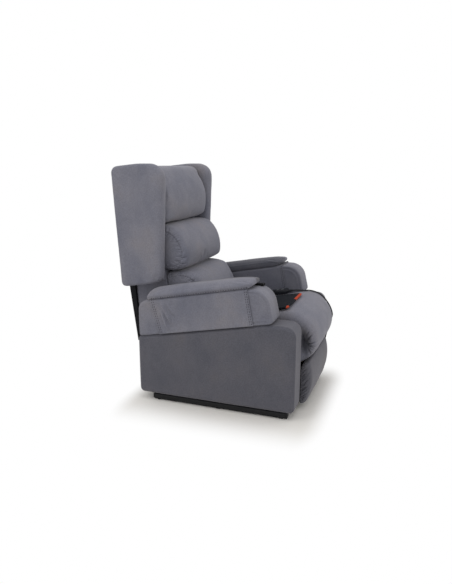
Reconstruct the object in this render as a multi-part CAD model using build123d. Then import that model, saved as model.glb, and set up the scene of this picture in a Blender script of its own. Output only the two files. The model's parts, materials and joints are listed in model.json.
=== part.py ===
from build123d import *
import math
import os

os.makedirs("parts", exist_ok=True)

# Millimetres. X runs to the sitter's left, Y to the rear, Z up, with the floor at Z = 0.
# The left half is drawn and mirrored, except for what sits on one side only.

# Slopes and clearances
SLOPE = 11.3          # the seat falls to the rear
ARM_SLOPE = 10.65     # arms and panel tops do too
BACK_TILT = 4.3       # rear face of the back
FIT = 0.3             # between pieces that rest on each other
RUN = 0.08            # radial play of a pin in its hole
NEAR = 0.02           # radial play of a fixed pin in its hole

# Layers, as distances from the middle plane
CUSHION_X = 240
PUSH_BAR_X = 241
PUSH_BAR_T = 5
LEG_ARM_X = 247
LEG_ARM_T = 5
PLATE_X = 254
PLATE_T = 6
PANEL_X = 260.3
OUTER_X = 398
ARM_X = 258
COVER_T = 3
COVER_GAP = 0.5

# Seat cushion with a round front roll
ROLL_Y = -382
ROLL_Z = 361
ROLL_R = 142
SEAT_T = 125
SEAT_REAR = 129
ROLL_TAIL = -62       # where the underside of the roll ends, as an angle below the rear horizontal

# Lift linkage
LIFT_Y = -196
LIFT_Z = 62
LIFT_L = 320
LIFT_A0 = 5
LIFT_SWING = 65
LIFT_TILT = 26
REAR_LINK_FOOT = (-143.7, 73.3)
REAR_LINK_TOP = (274, 114)
REAR_LINK_SHARE = 0.905
LINK_X = 240
LINK_T = 6
REAR_LINK_X = 230
REAR_LINK_T = 6
BRACKET_X = 216
BRACKET_T = 8
TORQUE_R = 15
TORQUE_BORE = 11
LIFT_PIN_R = 9
LINK_PIN_R = 8
LEVER_REACH = 67.5
LEVER_T = 14
CAM_PIN_R = 7
FORK_DEPTH = 32       # from a fork's pin to its yoke, clear of the lever at both ends of its swing
FORK_YOKE = 8
ROD_STAY = 50         # length of a rod that stays in its tube

# Back hinge and its lever
RECLINE_Y = 254
RECLINE_Z = 300
RECLINE_SWING = 40
RECLINE_REACH = 82
RECLINE_X = 115
RECLINE_LEVER_T = 10
BACK_TUBE_R = 14
BACK_PIN_R = 10

# Leg rest
LEG_SWING = 85
LEG_REACH = 60
LEG_PIN_R = 8
LEG_GAP = 3.5
PAD_X = 244
PAD_REAR = -444
PAD_BOTTOM = 16
BOARD_T = 12

# Base
RAIL_X = 363
RAIL_W = 40
RAIL_H = 30
RAIL_WALL = 2.5
RAIL_FRONT = -418
RAIL_REAR = 301
CAP_T = 10
GLIDE_H = 4
GLIDE_R = 16
GLIDE_Y = (-385, -60, 268)
CROSS = 24
CROSS_Z = 7
CROSS_WALL = 2
BASE_CROSS_Y = (-390, -170, 274)

# Side panels and arms
PANEL_REAR = 371
PANEL_FRONT = -452
PANEL_BOTTOM = 39
PANEL_LINE = 410.5    # height of the sloping top edge where Y = 0
PANEL_TOP = 467
ARM_TOP = 593         # height of the sloping top of the arm where Y = 0
ARM_CREST = 632       # the top runs level at its front
ARM_FRONT = -344
ARM_NOSE = -310.5     # the front leans back to here at the crest
ARM_REAR = 364
COVER_FRONT = -249
COVER_REAR = 243
PAD_LIP = 10
PAD_NECK = 9
PAD_CROWN = (40, 32)  # at the rear and at the front

# Back
REAR_FACE = 452
REAR_FACE_Z = 284
REAR_PANEL_T = 18
BACK_X = 246          # between the arms
SHOULDER_X = 272      # above the arms
SHOULDER_Z = 612
REAR_PANEL_X = 256
WING_X = 344
FRAME_D = 25

SN = math.sin(math.radians(SLOPE))
CS = math.cos(math.radians(SLOPE))
FALL = SN / CS
ASN = math.sin(math.radians(ARM_SLOPE))
ACS = math.cos(math.radians(ARM_SLOPE))
ARM_FALL = ASN / ACS
LEAN = math.tan(math.radians(BACK_TILT))
ARM_BOTTOM = PANEL_LINE + FIT / ACS

STATIONS = (-1, -0.97, -0.92, -0.83, -0.68, -0.4, 0, 0.4, 0.68, 0.83, 0.92, 0.97, 1)

nodes = {}


def plate(face, x0, x1):
    """Prism of a face drawn in (Y, Z), from x0 to x1."""
    return extrude(Plane.YZ.offset(x0) * face, amount=x1 - x0)


def disc(centre, radius):
    return Pos(centre[0], centre[1]) * Circle(radius)


def capsule(p, q, radius):
    span = math.dist(p, q)
    turn = math.degrees(math.atan2(q[1] - p[1], q[0] - p[0]))
    middle = Pos((p[0] + q[0]) / 2, (p[1] + q[1]) / 2)
    return middle * Rot(0, 0, turn) * SlotCenterToCenter(span, 2 * radius)


def polygon(*points):
    return make_face(Polyline(*points, close=True))


def rounded(points, radii):
    return make_face(FilletPolyline(*points, radius=radii, close=True))


def polar(centre, radius, angle):
    a = math.radians(angle)
    return (centre[0] + radius * math.cos(a), centre[1] + radius * math.sin(a))


def mirrored(shape):
    return mirror(shape, about=Plane.YZ)


def both_sides(name, shape):
    nodes["left_" + name] = shape
    nodes["right_" + name] = mirrored(shape)


def group(*shapes):
    return Compound(children=[s for shape in shapes for s in shape.solids()])


def pair(name, *shapes):
    nodes[name] = group(*shapes, *[mirrored(s) for s in shapes])


def box_tube_x(y, z, depth, height, wall, x0, x1):
    outer = RectangleRounded(depth, height, 3)
    inner = Rectangle(depth - 2 * wall, height - 2 * wall)
    return plate(Pos(y, z) * (outer - inner), x0, x1)


def cam_slot(reach, swing):
    """Slot of a lever whose pin runs straight past the pivot at this reach, at an even rate."""
    half = math.radians(swing / 2)
    play = 0
    for step in range(-8, 9):
        share = step / 8
        pin = math.atan(math.tan(half) * share)
        play = max(play, abs(reach / math.cos(pin) * math.sin(pin - half * share)))
    return reach, reach / math.cos(half), CAM_PIN_R + play + FIT


def lever_face(pivot, reach, swing, angle, hub):
    """Lever with its slot; the angle is where it points at rest."""
    low, high, half_width = cam_slot(reach, swing)
    body = capsule(pivot, polar(pivot, high, angle), half_width + 7) + disc(pivot, hub)
    slot = capsule(polar(pivot, low - FIT, angle), polar(pivot, high + FIT, angle), half_width)
    return body - slot


def cushion(runs, middle, half_width, crown, draw):
    """Soft body along X from runs of two points (a line) or three (an arc) in (Y, Z).

    It is full in the middle, falls off by the crown and is drawn in towards its ends.
    """
    faces = []
    for share in STATIONS:
        size = 1 - crown * share ** 2 - draw * abs(share) ** 9
        edges = []
        for run in runs:
            points = [(middle[0] + size * (y - middle[0]), middle[1] + size * (z - middle[1])) for y, z in run]
            edges.append(Line(*points) if len(run) == 2 else ThreePointArc(*points))
        faces.append(Plane.YZ.offset(share * half_width) * make_face(edges))
    return loft(faces, ruled=True)


def seat_top(y):
    tangent_y = ROLL_Y + ROLL_R * SN
    tangent_z = ROLL_Z + ROLL_R * CS
    return tangent_z - FALL * (y - tangent_y)


def seat_under(y):
    return seat_top(y) - SEAT_T / CS


def back_rear(z, depth=0):
    """Y of a plane this deep inside the rear face of the back."""
    return REAR_FACE + LEAN * (z - REAR_FACE_Z) - depth


def actuator(pin, toward, x, side, gap, tube, motor_reach):
    """Motor, outer tube and rod frame of a linear drive; toward points from its pin to its motor."""
    frame = Plane(origin=(x, pin[0], pin[1]), x_dir=(1, 0, 0), z_dir=(0, toward[0], toward[1]))
    start = gap + tube
    sleeve = Pos(0, 0, gap + tube / 2) * (Cylinder(17, tube) - Cylinder(9.2, tube))
    housing = Pos(0, 0, start + 35) * fillet(Box(56, 52, 70).edges().filter_by(Axis.Z), 10)
    can = Pos(side * 44, 0, start - 30) * Cylinder(21, 130)
    bridge = Pos(side * 30, 0, start + 17.5) * Box(40, 40, 35)
    tail = Pos(0, 0, (start + 70 + motor_reach) / 2) * Box(14, 26, motor_reach - start - 70)
    eye = Pos(0, 0, motor_reach) * Rot(0, 90, 0) * Cylinder(13, 14)
    hole = Pos(0, 0, motor_reach) * Rot(0, 90, 0) * Cylinder(LINK_PIN_R + NEAR, 14)
    return frame, sleeve, housing + can + bridge + tail + eye - hole


def fork_rod(length, lever_t):
    """Rod with a fork and cross pin, its pin at the origin and its shaft along Z."""
    gap = lever_t / 2 + FIT
    root = FORK_DEPTH + FORK_YOKE / 2
    shaft = Pos(0, 0, (root + length) / 2) * Cylinder(9, length - root)
    cheek = Box(6, 24, root + 14)
    cheeks = Pos(gap + 3, 0, root / 2 - 7) * cheek + Pos(-gap - 3, 0, root / 2 - 7) * cheek
    yoke = Pos(0, 0, root) * Box(2 * gap + 12, 24, FORK_YOKE)
    pin = Rot(0, 90, 0) * Cylinder(CAM_PIN_R, 2 * gap + 12)
    return shaft + cheeks + yoke + pin


# Base: two floor rails, three cross tubes, end caps, glides and pivot brackets
def base_rail():
    length = RAIL_REAR - RAIL_FRONT - 2 * CAP_T
    outer = RectangleRounded(RAIL_W, RAIL_H, 8)
    inner = RectangleRounded(RAIL_W - 2 * RAIL_WALL, RAIL_H - 2 * RAIL_WALL, 8 - RAIL_WALL)
    start = Plane((RAIL_X, RAIL_FRONT + CAP_T, GLIDE_H + RAIL_H / 2), (1, 0, 0), (0, 1, 0))
    return extrude(start * (outer - inner), amount=length)


def rail_cap(y, inward):
    plane = Plane((RAIL_X, y, GLIDE_H + RAIL_H / 2), (1, 0, 0), (0, inward, 0))
    head = extrude(plane * RectangleRounded(RAIL_W, RAIL_H, 8), amount=CAP_T)
    head = fillet(head.faces().sort_by(Axis.Y)[0 if inward > 0 else -1].edges(), 6.5)
    inset = 2 * (RAIL_WALL + FIT)
    plug_face = RectangleRounded(RAIL_W - inset, RAIL_H - inset, 8 - RAIL_WALL - FIT)
    return head + extrude(plane.offset(CAP_T) * plug_face, amount=14)


pair("base_rails", base_rail())
pair("rail_end_caps", rail_cap(RAIL_FRONT, 1), rail_cap(RAIL_REAR, -1))
glide = Cylinder(GLIDE_R, GLIDE_H, align=(Align.CENTER, Align.CENTER, Align.MIN))
pair("floor_glides", *[Pos(RAIL_X, y, 0) * glide for y in GLIDE_Y])
cross_half = RAIL_X - RAIL_W / 2
nodes["base_cross_tubes"] = group(*[
    box_tube_x(y, CROSS_Z + CROSS / 2, CROSS, CROSS, CROSS_WALL, -cross_half, cross_half) for y in BASE_CROSS_Y])

lift_pivot = (LIFT_Y, LIFT_Z)
cross_top = CROSS_Z + CROSS
bracket_face = polygon((LIFT_Y - 30, cross_top), (LIFT_Y - 30, LIFT_Z + 12), (LIFT_Y - 14, LIFT_Z + 30),
                       (REAR_LINK_FOOT[0] + 8, REAR_LINK_FOOT[1] + 22),
                       (REAR_LINK_FOOT[0] + 24, REAR_LINK_FOOT[1] + 6),
                       (REAR_LINK_FOOT[0] + 24, cross_top))
bracket_face -= disc(lift_pivot, TORQUE_R + RUN) + disc(REAR_LINK_FOOT, LINK_PIN_R + NEAR)
pivot_bracket = plate(bracket_face, BRACKET_X, BRACKET_X + BRACKET_T)
foot_pin = plate(disc(REAR_LINK_FOOT, LINK_PIN_R), BRACKET_X, REAR_LINK_X + REAR_LINK_T + 2)

# Lift frame: torque tube, two long links and the lever that the lift drive pushes
lift_top = polar(lift_pivot, LIFT_L, LIFT_A0)
tube_half = LINK_X
nodes["lift_torque_tube"] = plate(disc(lift_pivot, TORQUE_R) - disc(lift_pivot, TORQUE_BORE), -tube_half, tube_half)
link_face = capsule(lift_pivot, lift_top, 17) - disc(lift_top, LIFT_PIN_R + RUN)
pair("lift_links", plate(link_face, LINK_X, LINK_X + LINK_T))
lift_lever = lever_face(lift_pivot, LEVER_REACH, LIFT_SWING, 90 - LIFT_SWING / 2, 26)
lift_lever -= disc(lift_pivot, TORQUE_R + NEAR)
nodes["lift_lever"] = plate(lift_lever, -LEVER_T / 2, LEVER_T / 2)

# Rear links with their top studs
rear_link = plate(capsule(REAR_LINK_FOOT, REAR_LINK_TOP, 14) - disc(REAR_LINK_FOOT, LINK_PIN_R + RUN),
                  REAR_LINK_X, REAR_LINK_X + REAR_LINK_T)
rear_link += plate(disc(REAR_LINK_TOP, LINK_PIN_R), REAR_LINK_X + REAR_LINK_T, PLATE_X + PLATE_T)
pair("rear_links", rear_link)


def rear_link_play():
    """How far the rear link's top strays from its place on the mechanism plate over the lift."""
    reach = math.dist(REAR_LINK_FOOT, REAR_LINK_TOP)
    first = math.atan2(REAR_LINK_TOP[1] - REAR_LINK_FOOT[1], REAR_LINK_TOP[0] - REAR_LINK_FOOT[0])
    stray = 0
    for step in range(27):
        swing = math.radians(LIFT_SWING) * step / 26
        tilt = -swing * LIFT_TILT / LIFT_SWING
        turn = first + REAR_LINK_SHARE * swing
        top_y = REAR_LINK_FOOT[0] + reach * math.cos(turn)
        top_z = REAR_LINK_FOOT[1] + reach * math.sin(turn)
        pin = polar(lift_pivot, LIFT_L, LIFT_A0 + math.degrees(swing))
        dy, dz = top_y - pin[0], top_z - pin[1]
        y = lift_top[0] + dy * math.cos(tilt) - dz * math.sin(tilt)
        z = lift_top[1] + dy * math.sin(tilt) + dz * math.cos(tilt)
        stray = max(stray, math.dist((y, z), REAR_LINK_TOP))
    return stray


# Chassis: mechanism plates, cross tubes, seat rails and the pins that the moving parts turn on
leg_pivot = (ROLL_Y, ROLL_Z)
back_pivot = (RECLINE_Y, RECLINE_Z)
MID_TUBE = (-128, 186)
REAR_TUBE = (184, 186)
CHASSIS_TUBE_R = 13
plate_face = polygon(
    (ROLL_Y - 26, ROLL_Z - 22), (ROLL_Y - 26, ROLL_Z + 24), (ROLL_Y + 22, ROLL_Z + 30), (120, 346),
    (RECLINE_Y + 26, RECLINE_Z + 26), (RECLINE_Y + 30, RECLINE_Z - 26),
    (REAR_LINK_TOP[0] + 28, REAR_LINK_TOP[1] + 20), (REAR_LINK_TOP[0] + 20, REAR_LINK_TOP[1] - 22),
    (REAR_LINK_TOP[0] - 24, REAR_LINK_TOP[1] - 26), (lift_top[0] + 20, lift_top[1] - 22),
    (lift_top[0] - 26, lift_top[1] - 22), (lift_top[0] - 36, lift_top[1] + 20),
    (MID_TUBE[0], MID_TUBE[1] - 24), (MID_TUBE[0] - 30, MID_TUBE[1] - 18),
    (-300, 296), (ROLL_Y + 20, ROLL_Z - 26))
plate_face -= disc(leg_pivot, LEG_PIN_R + NEAR) + disc(back_pivot, BACK_PIN_R + NEAR)
plate_face -= disc(lift_top, LIFT_PIN_R + NEAR)
plate_face -= disc(REAR_LINK_TOP, LINK_PIN_R + rear_link_play() + FIT)
pair("mechanism_plates", plate(plate_face, PLATE_X, PLATE_X + PLATE_T))
rings = [disc(c, CHASSIS_TUBE_R) - disc(c, CHASSIS_TUBE_R - 2) for c in (MID_TUBE, REAR_TUBE)]
nodes["chassis_tubes"] = group(*[plate(ring, -PLATE_X, PLATE_X) for ring in rings])
pivot_pins = [
    plate(disc(leg_pivot, LEG_PIN_R), LEG_ARM_X - 1, PLATE_X + PLATE_T),
    plate(disc(back_pivot, BACK_PIN_R), LEG_ARM_X, PLATE_X + PLATE_T),
    plate(disc(lift_top, LIFT_PIN_R), LINK_X - 2, PLATE_X + PLATE_T)]

# Seat frame under the cushion
STRAP_T = 3
STRAP_W = 56
STRAP_LAP = 13
SEAT_RAIL_H = 35
SEAT_RAIL_D = 30
SEAT_FRONT_RAIL = -274
SEAT_REAR_RAIL = 88


def under_seat(y0, y1, drop, height):
    top = [(y0, seat_under(y0) - drop), (y1, seat_under(y1) - drop)]
    return polygon(*top, (y1, top[1][1] - height), (y0, top[0][1] - height))


rail_drop = STRAP_T + 2 * FIT
seat_rails = []
for middle_y in (SEAT_FRONT_RAIL, SEAT_REAR_RAIL):
    rail = under_seat(middle_y - SEAT_RAIL_D / 2, middle_y + SEAT_RAIL_D / 2, rail_drop, SEAT_RAIL_H)
    seat_rails.append(plate(rail, -PLATE_X, PLATE_X))
side_rail = under_seat(SEAT_FRONT_RAIL + SEAT_RAIL_D / 2, SEAT_REAR_RAIL - SEAT_RAIL_D / 2, rail_drop, SEAT_RAIL_H)
side_rail = plate(side_rail, 206, 236)
nodes["seat_rails"] = group(*seat_rails, side_rail, mirrored(side_rail))


strap = under_seat(SEAT_FRONT_RAIL - STRAP_LAP, SEAT_REAR_RAIL + STRAP_LAP, FIT, STRAP_T)
nodes["seat_webbing"] = group(*[plate(strap, x - STRAP_W / 2, x + STRAP_W / 2) for x in (-164, -82, 0, 82, 164)])

# Control box on its tray
TRAY_X = 70
TRAY_T = 3
tray_z = MID_TUBE[1] + CHASSIS_TUBE_R
nodes["control_tray"] = plate(
    polygon((MID_TUBE[0] - 10, tray_z), (REAR_TUBE[0] + 10, tray_z),
            (REAR_TUBE[0] + 10, tray_z + TRAY_T), (MID_TUBE[0] - 10, tray_z + TRAY_T)), -TRAY_X, TRAY_X)
box = Pos(0, -10, tray_z + TRAY_T + 21) * Box(110, 110, 42)
nodes["control_box"] = fillet(box.edges().filter_by(Axis.Z), 8)


# Seat cushion: a thick pad that rolls over its front edge
def seat_profile():
    tangent = polar(leg_pivot, ROLL_R, 90 - SLOPE)
    front = polar(leg_pivot, ROLL_R, 180)
    tail = polar(leg_pivot, ROLL_R, 360 + ROLL_TAIL)
    rear_top = (SEAT_REAR, seat_top(SEAT_REAR) - 30)
    rear_crown = (SEAT_REAR - 36, seat_top(SEAT_REAR - 36))
    rear_low = (SEAT_REAR, seat_under(SEAT_REAR))
    notch = (tail[0] + 4, seat_under(tail[0] + 4))
    crown = (-130, seat_top(-130) + 5)
    return [
        (rear_crown, crown, tangent),
        (tangent, polar(leg_pivot, ROLL_R, 135), front),
        (front, polar(leg_pivot, ROLL_R, 240), tail),
        (tail, notch),
        (notch, rear_low),
        (rear_low, rear_top),
        (rear_top, (SEAT_REAR - 10, seat_top(SEAT_REAR - 10) - 9), rear_crown)]


nodes["seat_cushion"] = cushion(seat_profile(), (-200, seat_under(-200)), CUSHION_X, 0.012, 0.05)

# Leg rest: pad, board, two arms and the push frame of its drive
leg_radius = ROLL_R + LEG_GAP
pad_top_rear = (PAD_REAR, ROLL_Z - math.sqrt(leg_radius ** 2 - (PAD_REAR - ROLL_Y) ** 2))
pad_top_front = polar(leg_pivot, leg_radius, 224)
pad_low = (PAD_REAR, PAD_BOTTOM)
pad_toe = (PAD_REAR - 41, PAD_BOTTOM + 46)
pad_profile = [
    (pad_low, pad_top_rear),
    (pad_top_rear, polar(leg_pivot, leg_radius, 234), pad_top_front),
    (pad_top_front, (PAD_REAR - 59, PAD_BOTTOM + 142), pad_toe),
    (pad_toe, (PAD_REAR - 26, PAD_BOTTOM + 12), pad_low)]
nodes["legrest_pad"] = cushion(pad_profile, (PAD_REAR, PAD_BOTTOM + 102), PAD_X, 0.01, 0.07)
board_top = pad_top_rear[1] - 8
board_rear = PAD_REAR + FIT + BOARD_T
nodes["legrest_board"] = plate(
    polygon((PAD_REAR + FIT, 34), (board_rear, 34), (board_rear, board_top - 6), (PAD_REAR + FIT, board_top)),
    -LEG_ARM_X, LEG_ARM_X)
lever_angle = 270 - SLOPE + LEG_SWING / 2
leg_arm = polygon((PAD_REAR, 44), (PAD_REAR + 40, 44), (PAD_REAR + 46, 240), (ROLL_Y + 24, ROLL_Z),
                  (ROLL_Y - 22, ROLL_Z), (PAD_REAR, 252))
leg_arm += disc(leg_pivot, 24)
leg_arm += lever_face(leg_pivot, LEG_REACH, LEG_SWING, lever_angle, 24)
low, high, slot_half = cam_slot(LEG_REACH, LEG_SWING)
leg_arm -= capsule(polar(leg_pivot, low - FIT, lever_angle), polar(leg_pivot, high + FIT, lever_angle), slot_half)
leg_arm -= disc(leg_pivot, LEG_PIN_R + RUN)
pair("legrest_arms", plate(leg_arm, LEG_ARM_X, LEG_ARM_X + LEG_ARM_T))

leg_stroke = 2 * LEG_REACH * math.tan(math.radians(LEG_SWING / 2))


def leg_line(along):
    """Point on the straight path of the push frame, from where its pin rests, to the front."""
    y = ROLL_Y - LEG_REACH * SN + (leg_stroke / 2 - along) * CS
    z = ROLL_Z - LEG_REACH * CS - (leg_stroke / 2 - along) * SN
    return (y, z)


PUSH_BAR_L = 200
PUSH_TUBE_R = 10
push_bar = plate(capsule(leg_line(0), leg_line(-PUSH_BAR_L), 12), PUSH_BAR_X, PUSH_BAR_X + PUSH_BAR_T)
push_bar += plate(disc(leg_line(0), CAM_PIN_R), PUSH_BAR_X, LEG_ARM_X + LEG_ARM_T + 1)
push_tube = plate(disc(leg_line(-PUSH_BAR_L), PUSH_TUBE_R), -PUSH_BAR_X, PUSH_BAR_X)
nodes["legrest_push_frame"] = push_tube + push_bar + mirrored(push_bar)

# Three drives
TUBE_SPARE = 5
LIFT_GAP = FORK_DEPTH + FORK_YOKE + TUBE_SPARE
LIFT_TUBE = 270
lift_stroke = 2 * LEVER_REACH * math.tan(math.radians(LIFT_SWING / 2))
lift_pin = (LIFT_Y + lift_stroke / 2, LIFT_Z + LEVER_REACH)
lift_reach = BASE_CROSS_Y[2] - lift_pin[0]
frame, sleeve, housing = actuator(lift_pin, (1, 0), 0, 1, LIFT_GAP, LIFT_TUBE, lift_reach)
nodes["lift_drive_tube"] = frame * sleeve
nodes["lift_motor"] = frame * housing
nodes["lift_rod"] = frame * fork_rod(LIFT_GAP + lift_stroke + ROD_STAY, LEVER_T)
ear = polygon((BASE_CROSS_Y[2] - 15, cross_top), (BASE_CROSS_Y[2] + 15, cross_top),
              (BASE_CROSS_Y[2] + 15, lift_pin[1] + 13), (BASE_CROSS_Y[2] - 15, lift_pin[1] + 13))
ear -= disc((BASE_CROSS_Y[2], lift_pin[1]), LINK_PIN_R + NEAR)
ear = plate(ear, 7 + FIT, 7 + FIT + 6)
pair("base_brackets", pivot_bracket, ear)

recline_stroke = 2 * RECLINE_REACH * math.tan(math.radians(RECLINE_SWING / 2))
recline_pin = (RECLINE_Y + recline_stroke / 2, RECLINE_Z - RECLINE_REACH)
RECLINE_TUBE = 171
recline_gap = recline_stroke + FORK_DEPTH + FORK_YOKE + TUBE_SPARE
recline_reach = recline_pin[0] - MID_TUBE[0]
frame, sleeve, housing = actuator(recline_pin, (-1, 0), RECLINE_X, 1, recline_gap, RECLINE_TUBE, recline_reach)
drive_tubes = [frame * sleeve]
drive_motors = [frame * housing]
nodes["recline_rod"] = frame * fork_rod(recline_gap + ROD_STAY, RECLINE_LEVER_T)
recline_ear = capsule(MID_TUBE, (MID_TUBE[0], recline_pin[1]), 13)
recline_ear -= disc(MID_TUBE, CHASSIS_TUBE_R + NEAR) + disc((MID_TUBE[0], recline_pin[1]), LINK_PIN_R + NEAR)
recline_ear -= Pos(MID_TUBE[0], MID_TUBE[1] - 20) * Rectangle(60, 40)
recline_ears = [plate(recline_ear, RECLINE_X + s, RECLINE_X + s + 6) for s in (7 + FIT, -13 - FIT)]

leg_tube = leg_stroke + ROD_STAY + TUBE_SPARE
leg_gap = 30
leg_start = leg_line(-PUSH_BAR_L)
leg_reach = leg_gap + leg_tube + 95
frame, sleeve, housing = actuator(leg_start, (CS, -SN), -RECLINE_X, -1, leg_gap, leg_tube, leg_reach)
nodes["chassis_drive_tubes"] = group(*drive_tubes, frame * sleeve)
nodes["chassis_motors"] = group(*drive_motors, frame * housing)
leg_rod_l = leg_gap + leg_stroke + ROD_STAY
nodes["legrest_rod"] = frame * (Pos(0, 0, (PUSH_TUBE_R + leg_rod_l) / 2) * Cylinder(9, leg_rod_l - PUSH_TUBE_R))
leg_eye = (leg_start[0] + leg_reach * CS, leg_start[1] - leg_reach * SN)
leg_ear = capsule(REAR_TUBE, leg_eye, 13) - disc(REAR_TUBE, CHASSIS_TUBE_R + NEAR)
leg_ear -= disc(leg_eye, LINK_PIN_R + NEAR)
leg_ears = [plate(leg_ear, s - RECLINE_X, s - RECLINE_X + 6) for s in (7 + FIT, -13 - FIT)]
nodes["chassis_tubes"] = group(nodes["chassis_tubes"], *recline_ears, *leg_ears)


def drive_pin(x, centre):
    return plate(disc(centre, LINK_PIN_R), x - 14, x + 14)


nodes["base_pins"] = group(foot_pin, mirrored(foot_pin), drive_pin(0, (BASE_CROSS_Y[2], lift_pin[1])))
nodes["chassis_pins"] = group(
    *pivot_pins, *[mirrored(p) for p in pivot_pins],
    drive_pin(RECLINE_X, (MID_TUBE[0], recline_pin[1])), drive_pin(-RECLINE_X, leg_eye))


# Side panels: a padded shell over a ply frame
def panel_top(y):
    return PANEL_LINE - ARM_FALL * y


def panel_face(inset):
    bend = (PANEL_LINE - PANEL_TOP) / ARM_FALL
    rear, front = PANEL_REAR - inset, PANEL_FRONT + inset
    return rounded(
        [(rear, PANEL_BOTTOM + inset), (front, PANEL_BOTTOM + inset), (front, PANEL_TOP - inset),
         (bend, PANEL_TOP - inset), (rear, panel_top(rear) - inset)],
        [22, 22, 52, 60, 12])


PLY_T = 18
PLY_INSET = 26
shell = plate(panel_face(0), PANEL_X, OUTER_X)
shell = fillet(shell.faces().sort_by(Axis.X)[-1].edges(), 16)
shell = fillet(shell.faces().sort_by(Axis.X)[0].edges(), 8)
shell -= plate(panel_face(PLY_INSET), PANEL_X, PANEL_X + PLY_T + FIT)
both_sides("side_panel", shell)
ply = panel_face(PLY_INSET + FIT)
for y in (-310, -60, 190):
    ply -= Pos(y, 200) * RectangleRounded(170, 150, 20)
pair("side_frames", plate(ply, PANEL_X, PANEL_X + PLY_T))
STRETCHER_T = 18
nodes["rear_stretcher"] = plate(
    polygon((PANEL_REAR - 30, 60), (PANEL_REAR - 30 + STRETCHER_T, 60),
            (PANEL_REAR - 30 + STRETCHER_T, 140), (PANEL_REAR - 30, 140)), -PANEL_X, PANEL_X)


# Arms: padded core, a cover over the middle and a crowned pad on top
def arm_line(height, y):
    return height - ARM_FALL * y


arm_face = rounded(
    [(ARM_REAR, arm_line(ARM_BOTTOM, ARM_REAR)), (ARM_FRONT, arm_line(ARM_BOTTOM, ARM_FRONT)),
     (ARM_NOSE, ARM_CREST), ((ARM_TOP - ARM_CREST) / ARM_FALL, ARM_CREST),
     (ARM_REAR, arm_line(ARM_TOP, ARM_REAR))],
    [12, 18, 86, 60, 46])
arm = plate(arm_face, ARM_X, OUTER_X)
both_sides("arm", fillet(arm.faces().filter_by(Axis.X).edges(), 11))

arm_h = (ARM_TOP - ARM_BOTTOM) * ACS
along = Plane((0, COVER_REAR, arm_line(ARM_BOTTOM, COVER_REAR)), (1, 0, 0), (0, -ACS, ASN))
arm_mid = (ARM_X + OUTER_X) / 2
arm_w = OUTER_X - ARM_X
cover_l = (COVER_REAR - COVER_FRONT) / ACS


def cover_section(gap, radius):
    """Arch over the arm, standing on its lower edge."""
    half = arm_w / 2 + gap
    top = arm_h + gap
    low = [(arm_mid - half, 0), (arm_mid + half, 0)]
    high = [(arm_mid + half, top), (arm_mid - half, top)]
    return make_face(FilletPolyline(*low, *high, radius=[0.2, 0.2, radius, radius], close=True))


cover = cover_section(COVER_GAP + COVER_T, 14) - cover_section(COVER_GAP, 11)
cover -= Pos(arm_mid, 0) * Rectangle(arm_w + 2 * COVER_GAP, 4)
both_sides("arm_cover", extrude(along * cover, amount=cover_l))


def pad_section(station, half, neck, edge, crown, lift):
    """Boxing flush with the cover, a lip above it and a crowned top."""
    base = arm_h + COVER_GAP + COVER_T + FIT + lift
    foot = min(arm_w / 2 + COVER_GAP + COVER_T, half - 3)
    lip = base + neck
    right = [(arm_mid + foot, base), (arm_mid + foot, lip), (arm_mid + half, lip + 2), (arm_mid + half, lip + edge)]
    left = [(2 * arm_mid - x, z) for x, z in reversed(right)]
    outline = make_face([
        Polyline(*right), ThreePointArc(right[-1], (arm_mid, lip + crown), left[0]), Polyline(*left),
        Line(left[-1], right[0])])
    return along.offset(station) * outline


arm_pad_half = arm_w / 2 + PAD_LIP
PAD_OVER = 28         # past the cover at the front
PAD_BACK = 40         # past the cover at the rear
PAD_END = 66
PAD_RISE = 10
pad_l = PAD_BACK + cover_l + PAD_OVER


def arm_pad():
    """Pad lofted along the arm: full in the middle, rounded off at both ends, its front tip turned up."""
    sections = []
    for share in STATIONS:
        along_pad = (share + 1) / 2 * pad_l
        beyond = max(0, PAD_END - min(along_pad, pad_l - along_pad)) / PAD_END
        ease = math.sqrt(max(0, 1 - (0.96 * beyond) ** 2.6))
        overhang = max(0, along_pad - PAD_BACK - cover_l) / PAD_OVER
        full = PAD_CROWN[0] + (PAD_CROWN[1] - PAD_CROWN[0]) * along_pad / pad_l
        sections.append(pad_section(
            along_pad - PAD_BACK, arm_pad_half - 34 * (1 - ease), 3 + (PAD_NECK - 3) * ease, 4 + 12 * ease,
            11 + (full - 11) * ease, PAD_RISE * overhang ** 1.5))
    return loft(sections, ruled=True)


LEFT_PAD_BACK = 27    # the left pad has slid back along its cover
both_sides("arm_pad", arm_pad())
nodes["left_arm_pad"] = Pos(0, LEFT_PAD_BACK * ACS, -LEFT_PAD_BACK * ASN) * nodes["left_arm_pad"]

# Ribbed strap end that shows under the tip of the right arm's pad
STRAP_X = (-292, -262)
STRAP_Y = (-264, -222)
STRAP_T = 3
STRAP_RIBS = 5
STRAP_RIB_R = 4
strap_w = STRAP_X[1] - STRAP_X[0]
strap_l = STRAP_Y[1] - STRAP_Y[0]
strap_mid = (sum(STRAP_X) / 2, sum(STRAP_Y) / 2, ARM_CREST + FIT)
strap = Pos(*strap_mid) * Box(strap_w, strap_l, STRAP_T, align=(Align.CENTER, Align.CENTER, Align.MIN))
for rib in range(STRAP_RIBS):
    rib_y = STRAP_Y[0] + STRAP_RIB_R + rib * (strap_l - 2 * STRAP_RIB_R) / (STRAP_RIBS - 1)
    strap += Pos(strap_mid[0], rib_y, strap_mid[2] + STRAP_RIB_R + 0.5) * Rot(0, 90, 0) * Cylinder(STRAP_RIB_R, strap_w)
nodes["pad_strap"] = strap

# Back: frame, webbing, rear panel, padded body, pillows and wings, all on the hinge brackets
BODY_BOTTOM = 336
BODY_TOP = 1192
FRAME_TOP = 1120
FRAME_BOTTOM = 284
frame_near = REAR_PANEL_T + FIT
frame_far = frame_near + FRAME_D


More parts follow.
